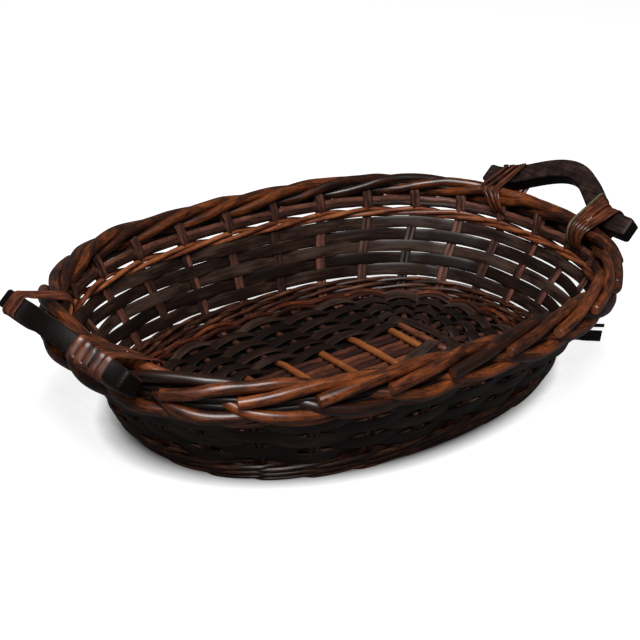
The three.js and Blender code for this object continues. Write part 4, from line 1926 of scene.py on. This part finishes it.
def facing(
    right: np.ndarray, above: np.ndarray, ahead: np.ndarray, place: Sequence[float]
) -> Matrix:
    """Places a camera or a lamp.

    Args:
        right: Direction to its right.
        above: Direction to its top.
        ahead: Direction that it faces.
        place: Where it stands, in metres.

    Returns:
        Its world matrix.
    """
    rows = [[right[row], above[row], -ahead[row], place[row]] for row in range(3)]
    return Matrix(rows + [[0, 0, 0, 1]])


@dataclass(frozen=True)
class Lamp:
    """A square soft lamp, turned to the tray.

    Attributes:
        name: Its name.
        place: Where it hangs, in metres.
        power: In watts.
        size: Length of its side, in metres.
    """

    name: str
    place: tuple[float, float, float]
    power: float
    size: float

    def build(self) -> None:
        """Hangs the lamp."""
        data = bpy.data.lights.new(self.name, "AREA")
        data.energy, data.size = self.power, self.size
        lamp = bpy.data.objects.new(self.name, data)
        bpy.context.scene.collection.objects.link(lamp)
        ahead = unit(np.array([0.0, 0.0, 0.05]) - np.array(self.place))
        side = unit(np.cross(ahead, [0.0, 1.0, 0.001]))
        lamp.matrix_world = facing(side, np.cross(side, ahead), ahead, self.place)


@dataclass
class Studio:
    """Pale floor, soft lamps and the camera.

    Attributes:
        lens: Focal length on a sensor 36 wide.
        eye: The camera's place.
        yaw: Its heading, in degrees from +Y towards +X.
        pitch: How far it looks down.
        roll: How far it is turned about its view.
        lamps: A large key lamp over the near left, and a weak fill lower down.
        ambient: Strength of the soft light from all round.
        floor_size: Length of the floor's side, in metres.
        floor_glow: What the eye sees of the floor away from the tray, beyond the light on it.
        floor_shade: Half-lengths in metres of the oval under the tray, where it has no such glow and the
            paper is painted darker: painted shade.
        shade_edge: Size at which that oval has faded out, as a share of it.
        mirrored_floor: Share of the white floor that shows in the tray's own gloss.
        paper: The paper's colour under the tray, darker there as painted shade, and away from it.
        thrown: Its colour to the light that it throws back.
    """

    lens: float = 79.81
    eye: tuple[float, float, float] = (-591.2, -648.0, 460.0)
    yaw: float = 41.35
    pitch: float = 25.45
    roll: float = 3.05
    lamps: tuple[Lamp, ...] = (
        Lamp("key", (-0.75, -0.75, 1.75), 42.0, 1.0),
        Lamp("fill", (-1.2, -1.0, 0.75), 1.8, 0.7),
    )
    ambient: float = 0.08
    floor_size: float = 12.0
    floor_glow: float = 0.8
    floor_shade: tuple[float, float] = (0.162, 0.108)
    shade_edge: float = 1.14
    mirrored_floor: float = 0.06
    paper: tuple[str, str] = ("#6e6e6e", "#bcbcbc")
    thrown: str = "#2a2a2a"

    def build_camera(self) -> None:
        """Sets up the camera."""
        yaw, pitch, roll = (math.radians(angle) for angle in (self.yaw, self.pitch, self.roll))
        ahead = np.array([
            math.sin(yaw) * math.cos(pitch), math.cos(yaw) * math.cos(pitch), -math.sin(pitch)
        ])
        level = unit(np.cross(ahead, UP))
        above = np.cross(level, ahead)
        right = level * math.cos(roll) + above * math.sin(roll)
        upward = np.cross(right, ahead)
        data = bpy.data.cameras.new("camera")
        data.lens, data.sensor_width = self.lens, 36.0
        data.clip_start, data.clip_end = 0.05, 20.0
        camera = bpy.data.objects.new("camera", data)
        bpy.context.scene.collection.objects.link(camera)
        camera.matrix_world = facing(right, upward, ahead, np.array(self.eye) * MM)
        bpy.context.scene.camera = camera

    def build_floor(self) -> None:
        """Lays a large pale floor, white to the eye and duller to the light that it throws back, with
        painted shade under the tray.
        """
        bpy.ops.object.select_all(action="DESELECT")
        bpy.ops.mesh.primitive_plane_add(size=self.floor_size)
        floor = bpy.context.object
        floor.name = "studio_floor"
        material, tree = blank_material("studio_paper")
        path = add_node(tree, "ShaderNodeLightPath", {})
        straight = add_node(
            tree,
            "ShaderNodeMath",
            {"0": path.outputs["Is Camera Ray"], "1": path.outputs["Is Transmission Ray"]},
            operation="MAXIMUM",
        )
        # Rough wood throws back only a little of the white paper.
        seen = add_node(
            tree,
            "ShaderNodeMath",
            {
                "0": path.outputs["Is Glossy Ray"],
                "1": self.mirrored_floor,
                "2": straight.outputs[0],
            },
            operation="MULTIPLY_ADD",
        )
        # Inside an oval under the tray the paper is painted darker and gets no glow: painted shade under
        # the tray.
        place = add_node(tree, "ShaderNodeTexCoord", {}).outputs["Object"]
        under = add_node(
            tree,
            "ShaderNodeMapping",
            {"Vector": place, "Scale": (1 / self.floor_shade[0], 1 / self.floor_shade[1], 0.0)},
        )
        away = add_node(tree, "ShaderNodeVectorMath", {"0": under.outputs[0]}, operation="LENGTH")
        beside = add_node(
            tree,
            "ShaderNodeMapRange",
            {"Value": away.outputs["Value"], "From Min": 1.0, "From Max": self.shade_edge},
        )
        paper = add_node(
            tree,
            "ShaderNodeMix",
            {"Factor": beside.outputs[0], "A": linear(self.paper[0]), "B": linear(self.paper[1])},
            data_type="RGBA",
        )
        colour = add_node(
            tree,
            "ShaderNodeMix",
            {"Factor": seen.outputs[0], "A": linear(self.thrown), "B": paper.outputs[2]},
            data_type="RGBA",
        )
        lit = add_node(
            tree,
            "ShaderNodeMath",
            {"0": seen.outputs[0], "1": beside.outputs[0]},
            operation="MULTIPLY",
        )
        glow = add_node(
            tree, "ShaderNodeMath", {"0": lit.outputs[0], "1": self.floor_glow}, operation="MULTIPLY"
        )
        shader = add_node(
            tree,
            "ShaderNodeBsdfPrincipled",
            {
                "Base Color": colour.outputs[2],
                "Roughness": 0.9,
                "Emission Color": (1, 1, 1, 1),
                "Emission Strength": glow.outputs[0],
            },
        )
        add_node(tree, "ShaderNodeOutputMaterial", {"Surface": shader.outputs[0]})
        floor.data.materials.append(material)

    def build_world(self) -> None:
        """Fills the studio with soft light, white behind the tray."""
        world = bpy.data.worlds.new("studio")
        bpy.context.scene.world = world
        world.use_nodes = True
        tree = world.node_tree
        tree.nodes.clear()
        path = add_node(tree, "ShaderNodeLightPath", {})
        seen = path.outputs["Is Camera Ray"]
        strength = add_node(
            tree, "ShaderNodeMapRange", {"Value": seen, "To Min": self.ambient, "To Max": 1.0}
        )
        shader = add_node(
            tree,
            "ShaderNodeBackground",
            {"Color": (1, 1, 1, 1), "Strength": strength.outputs[0]},
        )
        add_node(tree, "ShaderNodeOutputWorld", {"Surface": shader.outputs[0]})

    def build(self) -> None:
        """Builds the studio."""
        self.build_camera()
        self.build_floor()
        self.build_world()
        for lamp in self.lamps:
            lamp.build()
        bpy.context.scene.view_settings.view_transform = "Standard"


def main() -> None:
    """Builds the studio and the tray, piece by piece."""
    logging.basicConfig(level=logging.INFO, format="%(name)s: %(message)s")
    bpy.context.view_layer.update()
    Studio().build()
    looks = Wardrobe()
    oval = Oval()
    floor = Floor(oval, looks)
    floor.build()
    Wall(oval, looks).build(floor)
    border = Border(oval, looks)
    border.build()
    for end in End:
        Handle(end, border, looks).build()


if __name__ == "__main__":
    main()
